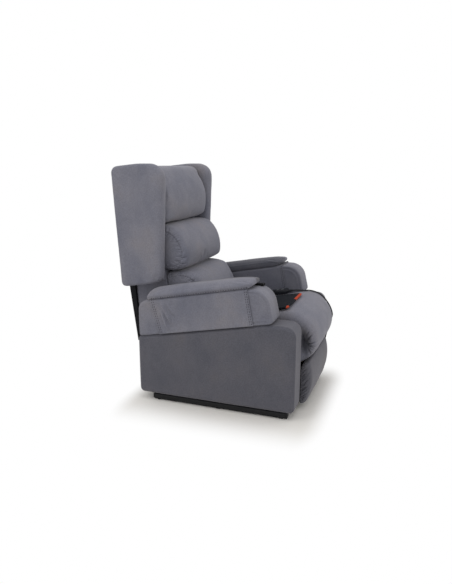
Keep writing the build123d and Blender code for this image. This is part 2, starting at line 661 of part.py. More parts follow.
def back_slab(near, far, z0, z1):
    """Strip parallel to the rear face, between two depths and two heights."""
    return polygon((back_rear(z0, near), z0), (back_rear(z1, near), z1), (back_rear(z1, far), z1), (back_rear(z0, far), z0))


PANEL_Z = (268, 566, 1172)
PANEL_SWELL = (-2, 15, 1)    # the rear panel against the rear face, at these heights
panel_rear = [(back_rear(z) + swell, z) for z, swell in zip(PANEL_Z, PANEL_SWELL)]
panel = polygon(*panel_rear, (back_rear(PANEL_Z[2], REAR_PANEL_T), PANEL_Z[2]),
                (back_rear(PANEL_Z[0], REAR_PANEL_T), PANEL_Z[0]))
panel = plate(panel, -REAR_PANEL_X, REAR_PANEL_X)
panel_ends = panel.edges().filter_by(Axis.X).sort_by(Axis.Z)
nodes["back_rear_panel"] = fillet(panel_ends[:2] + panel_ends[-2:], 3)
upright = plate(back_slab(frame_near, frame_far, FRAME_BOTTOM, FRAME_TOP), 205, 230)
lower_rail = plate(back_slab(frame_far, frame_far + FRAME_D, FRAME_BOTTOM, FRAME_BOTTOM + 30), -LEG_ARM_X, LEG_ARM_X)
upper_rail = plate(back_slab(frame_near, frame_far, FRAME_TOP - 30, FRAME_TOP), -205, 205)
nodes["back_frame"] = group(upright, mirrored(upright), lower_rail, upper_rail)
straps = [plate(back_slab(frame_near + 10, frame_near + 12, z, z + 50), -205, 205) for z in range(400, 1001, 100)]
nodes["back_webbing"] = group(*straps)

body_front = ((392, BODY_TOP - 26), (236, BODY_BOTTOM + 90))
body_rear = ((back_rear(BODY_BOTTOM, frame_near), BODY_BOTTOM), (back_rear(BODY_TOP, frame_near), BODY_TOP))
body_outline = rounded(
    [body_rear[0], body_rear[1], (body_front[0][0] + 6, BODY_TOP), body_front[0], body_front[1],
     (body_front[1][0], BODY_BOTTOM)], [2, 16, 10, 30, 40, 20])
body = plate(body_outline, -BACK_X, BACK_X)
above = plate(polygon((0, SHOULDER_Z), (2 * REAR_FACE, SHOULDER_Z), (2 * REAR_FACE, 2 * BODY_TOP), (0, 2 * BODY_TOP)),
              -SHOULDER_X, SHOULDER_X)
body += plate(body_outline, -SHOULDER_X, SHOULDER_X) & above
body -= plate(back_slab(0, frame_far + FIT, 0, FRAME_TOP + FIT), -230 - FIT, 230 + FIT)
body -= plate(back_slab(0, frame_far + FRAME_D + FIT, 0, FRAME_BOTTOM + 30 + FIT), -LEG_ARM_X, LEG_ARM_X)
nodes["back_body"] = body


def body_plane(z):
    (y1, z1), (y0, z0) = body_front
    return y0 + (y1 - y0) * (z - z0) / (z1 - z0) - FIT


def pillow(half_width, z_low, z_high, top, front_top, front, front_low, under):
    """Pillow against the body: rear line, then arcs over the top, the front and the underside."""
    low = (body_plane(z_low), z_low)
    high = (body_plane(z_high), z_high)
    runs = [(low, high), (high, top, front_top), (front_top, front, front_low), (front_low, under, low)]
    middle_z = (z_low + z_high) / 2
    return cushion(runs, (body_plane(middle_z), middle_z), half_width, 0.01, 0.04)


PILLOW_X = SHOULDER_X - 10
LUMBAR_X = BACK_X - 3
nodes["head_pillow"] = pillow(
    PILLOW_X, 903, 1158, (350, 1194), (294, 1151), (246, 1026), (256, 926), (294, 905))
nodes["mid_pillow"] = pillow(
    PILLOW_X, 669, 893, (284, 898), (220, 884), (154, 760), (156, 691), (206, 668))
nodes["lumbar_pillow"] = pillow(
    LUMBAR_X, 446, 651, (200, 662), (114, 647), (58, 548), (42, 470), (120, 432))

wing_face = rounded(
    [(488, 579), (526, 1189), (380, 1204.5), (236, 1204.5), (250, 880), (260, 618), (300, 611)],
    [24, 34, 300, 70, 200, 30, 40])
wing = plate(wing_face, SHOULDER_X + FIT, WING_X)
wing = fillet(wing.faces().sort_by(Axis.X)[-1].edges(), 14)
both_sides("wing", fillet(wing.faces().sort_by(Axis.X)[0].edges(), 12))

back_bracket = polygon((RECLINE_Y - 22, RECLINE_Z - 16), (RECLINE_Y - 22, RECLINE_Z + 18),
                       (RECLINE_Y + 10, RECLINE_Z + 32), (back_rear(320, frame_far), 320),
                       (back_rear(284, frame_far), FRAME_BOTTOM), (RECLINE_Y + 10, RECLINE_Z - 28))
back_bracket -= disc(back_pivot, BACK_PIN_R + RUN)
pair("back_brackets", plate(back_bracket, LEG_ARM_X, LEG_ARM_X + 6))
nodes["back_torque_tube"] = plate(disc(back_pivot, BACK_TUBE_R) - disc(back_pivot, BACK_TUBE_R - 3), -LEG_ARM_X, LEG_ARM_X)
recline_lever = lever_face(back_pivot, RECLINE_REACH, RECLINE_SWING, 270 + RECLINE_SWING / 2, 24)
recline_lever -= disc(back_pivot, BACK_TUBE_R + NEAR)
nodes["recline_lever"] = plate(recline_lever, RECLINE_X - RECLINE_LEVER_T / 2, RECLINE_X + RECLINE_LEVER_T / 2)

# Hand control on the seat, its keys and its cord
HANDSET = (205, -225)
HANDSET_L = 104
HANDSET_W = 54
HANDSET_T = 26
KEY_R = 6
KEY_TRAVEL = 1.2
KEY_H = 5
hand_plane = Plane((HANDSET[0], HANDSET[1], seat_top(HANDSET[1]) + 5.5), (1, 0, 0), (0, SN, CS))
oval = Ellipse(HANDSET_W / 2, HANDSET_L / 2)
small = Ellipse(HANDSET_W / 2 - 7, HANDSET_L / 2 - 9)
hand = loft([small, Plane.XY.offset(9) * oval, Plane.XY.offset(HANDSET_T - 8) * oval, Plane.XY.offset(HANDSET_T) * small])
neck = Pos(0, -HANDSET_L / 2 - 4, 12) * Rot(90, 0, 0) * Cylinder(6, 26)
keys = [(kx, ky) for ky in (-14, 14) for kx in (-9, 9)]
wells = [Pos(kx, ky, HANDSET_T - 4) * Cylinder(KEY_R + 0.35, 8) for kx, ky in keys]
for well in wells:
    hand = hand - well
nodes["handset"] = hand_plane * (hand + neck)
for number, (kx, ky) in enumerate(keys, 1):
    key = Pos(kx, ky, HANDSET_T - 8 + KEY_TRAVEL + 0.2 + KEY_H / 2 + 1) * Cylinder(KEY_R, KEY_H + 2)
    nodes["handset_key_%d" % number] = hand_plane * key

CORD_D = 7
GLAND = (304, 108)
GLAND_T = 3
GLAND_PLAY = 2.6
neck_end = -HANDSET_L / 2 - 17
cord_lead = [hand_plane.from_local_coords(Vector(0, neck_end - out, 12)) for out in (FIT, 24)]
cord_points = [
    *[(p.X, p.Y, p.Z) for p in cord_lead], (213, -349, seat_top(-349) + 8), (224, -387, 510.5),
    (237, -430, 497.5), (246, -455, 478), (251, -475, 456), (256, -498, 421), (260, -515, 376), (262, -507, 343),
    (265, -496, 308), (271, -484, 265), (280, -473, 215), (292, -469, 170), (301, -472, 142),
    (GLAND[0], -472, 119), (GLAND[0], PANEL_FRONT - GLAND_T + 1, GLAND[1])]


def cord_radii(points):
    """Bend radius at each inner point, from the shorter run beside it and its turn."""
    radii = []
    for a, b, c in zip(points, points[1:], points[2:]):
        first, second = Vector(*b) - Vector(*a), Vector(*c) - Vector(*b)
        turn = math.radians(first.get_angle(second))
        radii.append(0.45 * min(first.length, second.length) / math.tan(max(turn, 0.01) / 2))
    return radii


cord_path = FilletPolyline(*cord_points, radius=cord_radii(cord_points))
cord_start_plane = Plane(cord_path @ 0, z_dir=cord_path % 0)
nodes["handset_cord"] = sweep(cord_start_plane * Circle(CORD_D / 2), path=cord_path)
gland_plane = Plane((GLAND[0], PANEL_FRONT, GLAND[1]), (1, 0, 0), (0, -1, 0))
nodes["cord_gland"] = extrude(gland_plane * (Circle(10) - Circle(CORD_D / 2 + GLAND_PLAY)), amount=GLAND_T)

# Mat that lies on the seat, with two corner patches
MAT_X = (-215, 112)
MAT_Y = (-371, -150)
MAT_T = 12
mat_middle = ((MAT_X[0] + MAT_X[1]) / 2, (MAT_Y[0] + MAT_Y[1]) / 2)
mat_plane = Plane((mat_middle[0], mat_middle[1], seat_top(mat_middle[1]) + 5.5), (1, 0, 0), (0, SN, CS))
mat_w = MAT_X[1] - MAT_X[0]
mat_d = (MAT_Y[1] - MAT_Y[0]) / CS
mat = extrude(RectangleRounded(mat_w, mat_d, 22), amount=MAT_T)
mat = fillet(mat.faces().filter_by(Axis.Z).edges(), 5)
nodes["seat_mat"] = mat_plane * mat

for name, shape in nodes.items():
    export_step(shape, "parts/%s.step" % name)

lengths = [round(r, 1) for r in cord_radii(cord_points)]
print("nodes", len(nodes), "cord length", round(cord_path.length, 1), "cord bend radii", lengths)
print("lift stroke", lift_stroke, "recline stroke", recline_stroke, "legrest stroke", leg_stroke)
print("rear link play", rear_link_play(), "lift top", lift_top)
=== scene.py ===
import json
import math
import bmesh
import bpy
import numpy as np
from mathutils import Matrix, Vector


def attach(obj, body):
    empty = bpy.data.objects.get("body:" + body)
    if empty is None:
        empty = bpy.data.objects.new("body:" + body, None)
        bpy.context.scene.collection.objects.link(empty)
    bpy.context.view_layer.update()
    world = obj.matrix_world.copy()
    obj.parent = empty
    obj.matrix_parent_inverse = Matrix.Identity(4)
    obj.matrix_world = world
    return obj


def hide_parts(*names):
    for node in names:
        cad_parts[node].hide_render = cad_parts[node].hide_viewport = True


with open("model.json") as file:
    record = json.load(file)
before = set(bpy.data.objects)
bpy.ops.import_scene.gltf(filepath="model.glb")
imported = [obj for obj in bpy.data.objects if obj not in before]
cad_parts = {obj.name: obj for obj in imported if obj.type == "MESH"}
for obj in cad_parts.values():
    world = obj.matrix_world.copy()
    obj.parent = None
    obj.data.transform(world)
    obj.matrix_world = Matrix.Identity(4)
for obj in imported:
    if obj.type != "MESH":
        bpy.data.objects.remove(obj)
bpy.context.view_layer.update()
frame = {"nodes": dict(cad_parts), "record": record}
NODES = frame["nodes"]
MM = 0.001

# Shared measures of the chair, in millimetres, as in the solids
SLOPE = math.radians(11.3)
SN, CS = math.sin(SLOPE), math.cos(SLOPE)
FALL = SN / CS
ARM_SLOPE = math.radians(10.65)
ASN, ACS = math.sin(ARM_SLOPE), math.cos(ARM_SLOPE)
ARM_FALL = ASN / ACS
ROLL = (-382.0, 361.0)
ROLL_R = 142.0
CUSHION_X = 240.0
PILLOW_X = 262.0
LUMBAR_X = 243.0
PAD_X = 244.0
OUTER_X = 398.0
ARM_X = 258.0
WING_X = 344.0
ARM_BOTTOM, ARM_TOP, ARM_CREST = 410.805, 593.0, 632.0
COVER_FRONT, COVER_REAR = -249.0, 243.0
PAD_NECK = 9.0
PAD_SLIP = {"left": 27.0, "right": 0.0}


# Camera at the photograph's viewpoint
def add_camera():
    data = bpy.data.cameras.new("photo_camera")
    data.sensor_width = 36.0
    data.lens = 33.83
    data.clip_end = 60.0
    cam = bpy.data.objects.new("photo_camera", data)
    bpy.context.scene.collection.objects.link(cam)
    cam.location = (-2.7675, -0.9799, 1.2052)
    aim = Vector((-0.0290, 0.0241, 0.5213)) - cam.location
    cam.rotation_euler = aim.to_track_quat("-Z", "Y").to_euler()
    bpy.context.scene.camera = cam


add_camera()


# Materials
def new_material(name):
    mat = bpy.data.materials.new(name)
    mat.use_nodes = True
    tree = mat.node_tree
    return mat, tree, tree.nodes["Principled BSDF"]


def add(tree, kind, **values):
    node = tree.nodes.new(kind)
    for key, value in values.items():
        setattr(node, key, value)
    return node


def object_coords(tree):
    return add(tree, "ShaderNodeTexCoord").outputs["Object"]


def noise(tree, coords, scale, detail=2.0, rough=0.5, stretch=None):
    if stretch:
        mapping = add(tree, "ShaderNodeMapping")
        mapping.inputs["Scale"].default_value = stretch
        tree.links.new(coords, mapping.inputs["Vector"])
        coords = mapping.outputs["Vector"]
    node = add(tree, "ShaderNodeTexNoise")
    node.inputs["Scale"].default_value = scale
    node.inputs["Detail"].default_value = detail
    node.inputs["Roughness"].default_value = rough
    tree.links.new(coords, node.inputs["Vector"])
    return node.outputs["Fac"]


def ramp(tree, value, stops):
    node = add(tree, "ShaderNodeValToRGB")
    band = node.color_ramp
    while len(band.elements) < len(stops):
        band.elements.new(0.5)
    for element, (place, colour) in zip(band.elements, stops):
        element.position = place
        element.color = (*colour, 1.0)
    tree.links.new(value, node.inputs["Fac"])
    return node.outputs["Color"]


def mix(tree, a, b, factor, kind="MIX"):
    node = add(tree, "ShaderNodeMix", data_type="RGBA", blend_type=kind)
    if isinstance(factor, float):
        node.inputs["Factor"].default_value = factor
    else:
        tree.links.new(factor, node.inputs["Factor"])
    for source, socket in ((a, node.inputs["A"]), (b, node.inputs["B"])):
        if isinstance(source, tuple):
            socket.default_value = (*source, 1.0)
        else:
            tree.links.new(source, socket)
    return node.outputs["Result"]


def calc(tree, kind, *values):
    """Result of a math node; each value is a number or a socket."""
    node = add(tree, "ShaderNodeMath", operation=kind)
    for socket, value in zip(node.inputs, values):
        if isinstance(value, float):
            socket.default_value = value
        else:
            tree.links.new(value, socket)
    return node.outputs[0]


def map_range(tree, value, low, high, kind="LINEAR"):
    """Share of the way from low to high."""
    node = add(tree, "ShaderNodeMapRange", interpolation_type=kind)
    node.inputs["From Min"].default_value = low
    node.inputs["From Max"].default_value = high
    tree.links.new(value, node.inputs["Value"])
    return node.outputs["Result"]


def axes(tree, coords):
    node = add(tree, "ShaderNodeSeparateXYZ")
    tree.links.new(coords, node.inputs[0])
    return node.outputs


def total(tree, *terms):
    """Sum of (value, weight) pairs."""
    result = 0.0
    for value, weight in terms:
        result = calc(tree, "MULTIPLY_ADD", value, weight, result)
    return result


def bump(tree, bsdf, height, distance, strength):
    node = add(tree, "ShaderNodeBump")
    node.inputs["Strength"].default_value = strength
    node.inputs["Distance"].default_value = distance
    tree.links.new(height, node.inputs["Height"])
    tree.links.new(node.outputs["Normal"], bsdf.inputs["Normal"])


def grey(value):
    return (value, value, value)


def inner_shade_tone(tree, at, near, far, tone):
    """Painted shade by distance from the middle plane: grey of the tone up to near, white from far on."""
    away = calc(tree, "ABSOLUTE", axes(tree, at)["X"])
    share = map_range(tree, away, near, far, "SMOOTHSTEP")
    return ramp(tree, share, [(0.0, grey(tone)), (1.0, grey(1.0))])


def suede(name, dark, light, warm, inner=None):
    """Brushed microfibre: cloudy nap, short brush streaks, fine pile and a soft sheen.

    With inner, the sitter's side of an arm is darkened with painted shade; inner holds the near and far
    distances and the tone of that shade.
    """
    mat, tree, bsdf = new_material(name)
    at = object_coords(tree)
    cloud = noise(tree, at, 5.5, 3.0, 0.55)
    streak = noise(tree, at, 34.0, 3.0, 0.6, (1.0, 1.0, 0.55))
    pile = noise(tree, at, 520.0, 2.0, 0.6)
    colour = ramp(tree, cloud, [(0.32, dark), (0.56, light), (0.78, warm)])
    colour = mix(tree, colour, ramp(tree, streak, [(0.35, grey(0.44)), (0.65, grey(0.56))]), 0.22, "OVERLAY")
    colour = mix(tree, colour, ramp(tree, pile, [(0.3, grey(0.42)), (0.7, grey(0.58))]), 0.35, "OVERLAY")
    fleck = noise(tree, at, 170.0, 3.0, 0.6)
    colour = mix(tree, colour, ramp(tree, fleck, [(0.32, grey(0.36)), (0.68, grey(0.64))]), 0.40, "OVERLAY")
    # painted shade: darker base colour on the sitter's side of the arms and pads
    if inner:
        colour = mix(tree, colour, inner_shade_tone(tree, at, *inner), 1.0, "MULTIPLY")
    tree.links.new(colour, bsdf.inputs["Base Color"])
    matt = ramp(tree, cloud, [(0.3, grey(0.82)), (0.7, grey(0.94))])
    tree.links.new(matt, bsdf.inputs["Roughness"])
    bsdf.inputs["Sheen Weight"].default_value = 0.22
    bsdf.inputs["Sheen Roughness"].default_value = 0.45
    bsdf.inputs["Sheen Tint"].default_value = (0.95, 0.92, 0.96, 1.0)
    bsdf.inputs["Specular IOR Level"].default_value = 0.15
    bump(tree, bsdf, total(tree, (pile, 0.6), (streak, 0.35), (cloud, 0.4)), 0.0010, 0.30)
    return mat


def woven(name, dark, light, pitch):
    """Plain woven cloth with crossing threads."""
    mat, tree, bsdf = new_material(name)
    at = object_coords(tree)
    threads = []
    for axis in ("X", "Z"):
        wave = add(tree, "ShaderNodeTexWave", bands_direction=axis)
        wave.inputs["Scale"].default_value = 1.0 / pitch / 3.2
        wave.inputs["Distortion"].default_value = 0.6
        tree.links.new(at, wave.inputs["Vector"])
        threads.append(wave.outputs["Fac"])
    height = total(tree, (threads[0], 0.5), (threads[1], 0.5))
    fade = noise(tree, at, 9.0)
    shade = total(tree, (height, 0.6), (fade, 0.4))
    tree.links.new(ramp(tree, shade, [(0.3, dark), (0.75, light)]), bsdf.inputs["Base Color"])
    tree.links.new(ramp(tree, fade, [(0.3, grey(0.86)), (0.7, grey(0.96))]), bsdf.inputs["Roughness"])
    bsdf.inputs["Specular IOR Level"].default_value = 0.08
    bump(tree, bsdf, height, 0.0006, 0.5)
    return mat


def moulded(name, dark, light, rough, grain, metallic=0.0, peel=0.25):
    """Moulded or coated surface: fine grain, slight unevenness and lighter rubbed edges."""
    mat, tree, bsdf = new_material(name)
    at = object_coords(tree)
    cloud = noise(tree, at, 14.0, 4.0, 0.6)
    fine = noise(tree, at, grain, 2.0)
    edge = add(tree, "ShaderNodeNewGeometry").outputs["Pointiness"]
    worn = ramp(tree, edge, [(0.52, grey(0.0)), (0.62, grey(0.2))])
    colour = ramp(tree, cloud, [(0.3, dark), (0.7, light)])
    colour = mix(tree, colour, tuple(min(1.0, c * 2.2 + 0.02) for c in light), worn)
    tree.links.new(colour, bsdf.inputs["Base Color"])
    matt = ramp(tree, cloud, [(0.3, grey(rough - 0.06)), (0.7, grey(rough + 0.06))])
    tree.links.new(matt, bsdf.inputs["Roughness"])
    bsdf.inputs["Metallic"].default_value = metallic
    bsdf.inputs["Specular IOR Level"].default_value = 0.2
    bump(tree, bsdf, total(tree, (fine, 1.0), (cloud, 0.4)), 0.0004, peel)
    return mat


def plywood(name):
    mat, tree, bsdf = new_material(name)
    at = object_coords(tree)
    grain = noise(tree, at, 9.0, 5.0, 0.65, (1.0, 0.25, 7.0))
    colour = ramp(tree, grain, [(0.3, (0.30, 0.19, 0.10)), (0.7, (0.58, 0.43, 0.27))])
    tree.links.new(colour, bsdf.inputs["Base Color"])
    matt = ramp(tree, grain, [(0.3, grey(0.6)), (0.7, grey(0.75))])
    tree.links.new(matt, bsdf.inputs["Roughness"])
    bump(tree, bsdf, grain, 0.0008, 0.3)
    return mat


SUEDE_TONES = ((0.138, 0.142, 0.178), (0.178, 0.178, 0.210), (0.206, 0.196, 0.214))
SUEDE = suede("suede", *SUEDE_TONES)
# arm and pad suede with painted shade on the sides towards the sitter
SUEDE_ARM_INNER_SHADE = suede("suede_arm_inner_shade", *SUEDE_TONES, (0.275, 0.340, 0.77))
SUEDE_PAD_INNER_SHADE = suede("suede_pad_inner_shade", *SUEDE_TONES, (0.312, 0.344, 0.50))
# darker copy of the suede for the side panels: painted shade of the low sides
SUEDE_SIDE_PAINTED_SHADE = suede("suede_side_painted_shade", (0.086, 0.087, 0.106), (0.101, 0.100, 0.118), (0.112, 0.107, 0.118))
# darker copy of the suede for the leg rest: painted shade of its front face
SUEDE_LEG_PAINTED_SHADE = suede("suede_leg_painted_shade", (0.088, 0.089, 0.106), (0.104, 0.103, 0.119), (0.114, 0.109, 0.118))
THREAD = woven("thread", (0.012, 0.012, 0.016), (0.026, 0.026, 0.032), 0.0012)
MATS = {
    "upholstery": SUEDE,
    "rear_cloth": woven("rear_cloth", (0.010, 0.010, 0.012), (0.024, 0.025, 0.028), 0.0016),
    "webbing": woven("webbing", (0.005, 0.005, 0.005), (0.016, 0.016, 0.017), 0.003),
    "mat_cloth": woven("mat_cloth", (0.008, 0.009, 0.012), (0.017, 0.019, 0.024), 0.002),
    "black_steel": moulded("black_steel", (0.003, 0.003, 0.004), (0.006, 0.006, 0.007), 0.55, 900.0),
    "bright_steel": moulded("bright_steel", (0.42, 0.42, 0.43), (0.58, 0.58, 0.58), 0.34, 300.0, 1.0, 0.1),
    "black_plastic": moulded("black_plastic", (0.004, 0.004, 0.005), (0.009, 0.009, 0.010), 0.55, 1400.0),
    "handset_shell": moulded("handset_shell", (0.006, 0.007, 0.010), (0.011, 0.012, 0.016), 0.46, 1800.0),
    "key_cap": moulded("key_cap", (0.10, 0.105, 0.115), (0.15, 0.155, 0.165), 0.62, 1600.0),
    "cord_sheath": moulded("cord_sheath", (0.006, 0.006, 0.007), (0.011, 0.011, 0.012), 0.46, 1200.0),
    "glide": moulded("glide", (0.014, 0.014, 0.014), (0.03, 0.03, 0.03), 0.7, 800.0),
    "ply": plywood("ply"),
}


def patches(mat, colour, edge, spans):
    """Coloured patches along the front edge of the mat, each over a span of X."""
    tree = mat.node_tree
    base = tree.nodes["Principled BSDF"].inputs["Base Color"]
    place = axes(tree, object_coords(tree))
    for low, high in spans:
        inside = calc(tree, "LESS_THAN", place["Y"], edge)
        inside = calc(tree, "MULTIPLY", inside, calc(tree, "GREATER_THAN", place["X"], low))
        inside = calc(tree, "MULTIPLY", inside, calc(tree, "LESS_THAN", place["X"], high))
        tree.links.new(mix(tree, base.links[0].from_socket, colour, inside), base)


PATCH_COLOUR = (0.42, 0.062, 0.03)
PATCH_EDGE = -0.357
PATCH_SPANS = ((-0.045, 0.10), (-0.23, -0.19))
patches(MATS["mat_cloth"], PATCH_COLOUR, PATCH_EDGE, PATCH_SPANS)
for part in frame["record"]["subparts"]:
    node = NODES[part["node"]]
    if not node.material_slots:
        node.data.materials.append(MATS[part["material_slot"]])
    for place in node.material_slots:
        place.material = MATS[part["material_slot"]]


# Mesh tools; points are rows of an array, in millimetres
def link(name, mesh):
    obj = bpy.data.objects.new(name, mesh)
    bpy.context.scene.collection.objects.link(obj)
    return obj


def get_points(mesh):
    co = np.empty(len(mesh.vertices) * 3, np.float32)
    mesh.vertices.foreach_get("co", co)
    return co.reshape(-1, 3).astype(float) * 1000.0


def set_points(mesh, points):
    mesh.vertices.foreach_set("co", (points * MM).astype(np.float32).ravel())
    mesh.update()


def get_normals(mesh):
    normal = np.empty(len(mesh.vertices) * 3, np.float32)
    mesh.vertex_normals.foreach_get("vector", normal)
    return normal.reshape(-1, 3).astype(float)


def get_edges(mesh):
    edges = np.empty(len(mesh.edges) * 2, np.int32)
    mesh.edges.foreach_get("vertices", edges)
    return edges.reshape(-1, 2)


def relaxed(points, edges, rounds, share=0.5):
    count = len(points)
    degree = np.bincount(edges.ravel(), minlength=count)[:, None].clip(1)
    for _ in range(rounds):
        mean = np.empty_like(points)
        for axis in range(3):
            value = points[:, axis]
            mean[:, axis] = (np.bincount(edges[:, 0], value[edges[:, 1]], count)
                             + np.bincount(edges[:, 1], value[edges[:, 0]], count))
        points = points + share * (mean / degree - points)
    return points


def smoothstep(low, high, value):
    t = np.clip((value - low) / (high - low), 0.0, 1.0)
    return t * t * (3.0 - 2.0 * t)


def uneven(points, pitch, seed):
    """Broad soft unevenness from -1 to 1."""
    turn = np.random.RandomState(seed).uniform(0.0, 2.0 * math.pi, (5, 3))
    lean = np.random.RandomState(seed + 1).normal(0.0, 1.0, (5, 3))
    wave = np.zeros(len(points))
    for phase, way in zip(turn, lean):
        wave += np.sin(points @ way * (2.0 * math.pi / pitch / np.linalg.norm(way)) + phase[0])
    return wave / 5.0


def near_line(points, line):
    """Distance to a polyline and the length along it of the nearest point."""
    best = np.full(len(points), 1e9)
    along = np.zeros(len(points))
    run = 0.0
    for a, b in zip(line[:-1], line[1:]):
        step = b - a
        length = np.linalg.norm(step)
        if length < 1e-9:
            continue
        t = np.clip((points - a) @ step / length ** 2, 0.0, 1.0)
        gap = np.linalg.norm(points - a - t[:, None] * step, axis=1)
        closer = gap < best
        best[closer] = gap[closer]
        along[closer] = run + t[closer] * length
        run += length
    return best, along


def gathers(t, depth, seed, pitch, reach, lean, width):
    """Creases sewn into a seam at uneven places along t, which die out at uneven depths into the cloth."""
    draw = np.random.RandomState(seed)
    low = t.min()
    result = np.zeros(len(t))
    for k in range(int((t.max() - low) / pitch)):
        centre = low + (k + 0.5 + draw.uniform(-0.35, 0.35)) * pitch
        length = reach * draw.uniform(0.4, 1.0)
        slant = lean + draw.uniform(-0.3, 0.3)
        wide = width * draw.uniform(0.7, 1.4)
        strength = draw.uniform(0.3, 1.0)
        gap = (t - centre - slant * depth) / (wide * (0.6 + 0.7 * np.clip(depth / length, 0.0, 1.5)))
        result += strength * np.exp(-gap ** 2) * smoothstep(length, 0.3 * length, depth)
    return result


def offset(points, normals, amount):
    return points + normals * np.asarray(amount)[:, None]


def fold(points, a, b, width):
    """Bump from 0 to 1 along a line from a to b that fades at both ends."""
    line = np.array([a, b], float)
    gap, along = near_line(points, line)
    share = along / np.linalg.norm(line[1] - line[0])
    return np.exp(-(gap / width) ** 2) * smoothstep(0.0, 0.25, share) * smoothstep(1.0, 0.6, share)


def outline(points, radii, inset=0.0, spacing=5.0):
    """Closed rounded outline in (Y, Z), moved inwards by the inset."""
    points = [np.array(p, float) for p in points]
    count = len(points)
    area = sum(p[0] * q[1] - q[0] * p[1] for p, q in zip(points, points[1:] + points[:1]))
    turn = 1.0 if area > 0 else -1.0
    lines = []
    for p, q in zip(points, points[1:] + points[:1]):
        way = (q - p) / np.linalg.norm(q - p)
        normal = turn * np.array([-way[1], way[0]])
        lines.append((p + normal * inset, way))
    corners = []
    for k in range(count):
        (p, u), (q, w) = lines[k - 1], lines[k]
        s = np.linalg.solve(np.array([u, -w]).T, q - p)[0]
        corners.append(p + s * u)
    path = []
    for k in range(count):
        before, here, after = corners[k - 1], corners[k], corners[(k + 1) % count]
        u = (before - here) / np.linalg.norm(before - here)
        w = (after - here) / np.linalg.norm(after - here)
        half = math.acos(np.clip(u @ w, -1, 1)) / 2
        radius = max(radii[k] - inset, 0.5)
        room = 0.49 * min(np.linalg.norm(before - here), np.linalg.norm(after - here))
        reach = min(radius / math.tan(half), room)
        start, end = here + u * reach, here + w * reach
        for share in np.linspace(0.0, 1.0, 9):
            path.append((1 - share) ** 2 * start + 2 * share * (1 - share) * here * 0.62 + share ** 2 * end
                        + 2 * share * (1 - share) * 0.38 * (start + end) / 2)
    path.append(path[0])
    return resample(np.array(path), spacing)


def resample(line, spacing):
    steps = np.linalg.norm(np.diff(line, axis=0), axis=1)
    run = np.concatenate([[0.0], np.cumsum(steps)])
    count = max(2, int(run[-1] / spacing) + 1)
    places = np.linspace(0.0, run[-1], count)
    return np.stack([np.interp(places, run, line[:, k]) for k in range(line.shape[1])], axis=1)


def at_x(line, x):
    return np.column_stack([np.full(len(line), x), line])


def even_copy(name, node, size, rounds, share=0.5):
    """New object with the node's solid as an even mesh, and its edges and relaxed points."""
    mesh = NODES[node].data.copy()
    work = bmesh.new()
    work.from_mesh(mesh)
    bmesh.ops.remove_doubles(work, verts=work.verts, dist=1e-5)
    work.to_mesh(mesh)
    work.free()
    obj = link(name, mesh)
    mod = obj.modifiers.new("even", "REMESH")
    mod.mode = "VOXEL"
    mod.voxel_size = size * MM
    graph = bpy.context.evaluated_depsgraph_get()
    even = bpy.data.meshes.new_from_object(obj.evaluated_get(graph))
    obj.modifiers.clear()
    obj.data = even
    even.name = name
    bpy.data.meshes.remove(mesh)
    even.materials.clear()
    edges = get_edges(even)
    return obj, edges, relaxed(get_points(even), edges, rounds, share)


def refine(obj):
    """Two even subdivisions of the mesh."""
    mod = obj.modifiers.new("fine", "SUBSURF")
    mod.levels = mod.render_levels = 2
    graph = bpy.context.evaluated_depsgraph_get()
    fine = bpy.data.meshes.new_from_object(obj.evaluated_get(graph))
    obj.modifiers.clear()
    coarse = obj.data
    obj.data = fine
    bpy.data.meshes.remove(coarse)
    fine.name = obj.name
    return fine


def swell(obj, held, cap, pressure=4.0, frames=18):
    """Blows the cover up like stuffing does, with the held points fixed, and keeps the result."""
    mesh = obj.data
    before = get_points(mesh)
    group = obj.vertex_groups.new(name="held")
    for weight in (0.25, 0.5, 0.75, 1.0):
        chosen = np.nonzero(np.abs(held - weight) <= 0.125)[0]
        group.add([int(k) for k in chosen], weight, "REPLACE")
    mod = obj.modifiers.new("swell", "CLOTH")
    cloth = mod.settings
    cloth.quality = 4
    cloth.mass = 0.25
    cloth.tension_stiffness = cloth.compression_stiffness = 18.0
    cloth.shear_stiffness = 6.0
    cloth.bending_stiffness = 8.0
    cloth.use_pressure = True
    cloth.uniform_pressure_force = pressure
    cloth.vertex_group_mass = group.name
    cloth.pin_stiffness = 1.0
    cloth.effector_weights.gravity = 0.0
    mod.point_cache.frame_start = 1
    mod.point_cache.frame_end = frames + 2
    for step in range(1, frames + 1):
        bpy.context.scene.frame_set(step)
    graph = bpy.context.evaluated_depsgraph_get()
    done = bpy.data.meshes.new_from_object(obj.evaluated_get(graph))
    after = get_points(done)
    bpy.data.meshes.remove(done)
    obj.modifiers.remove(mod)
    obj.vertex_groups.remove(group)
    bpy.context.scene.frame_set(1)
    move = after - before
    length = np.linalg.norm(move, axis=1)[:, None]
    set_points(mesh, before + move * np.minimum(1.0, cap / np.maximum(length, 1e-6)))


def dress(obj, body, slot, mat, *nodes, fill=None):
    obj.data.materials.clear()
    obj.data.materials.append(mat)
    obj.data.shade_smooth()
    if nodes:
        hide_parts(*nodes)
    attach(obj, body)
    return obj


# Places along a stitch and its thickness there, as shares
STITCH_SHAPE = ((0.0, 0.35), (0.18, 1.0), (0.5, 1.15), (0.82, 1.0), (1.0, 0.35))
STITCH_SINK = 0.9
STITCH_SIDES = 6


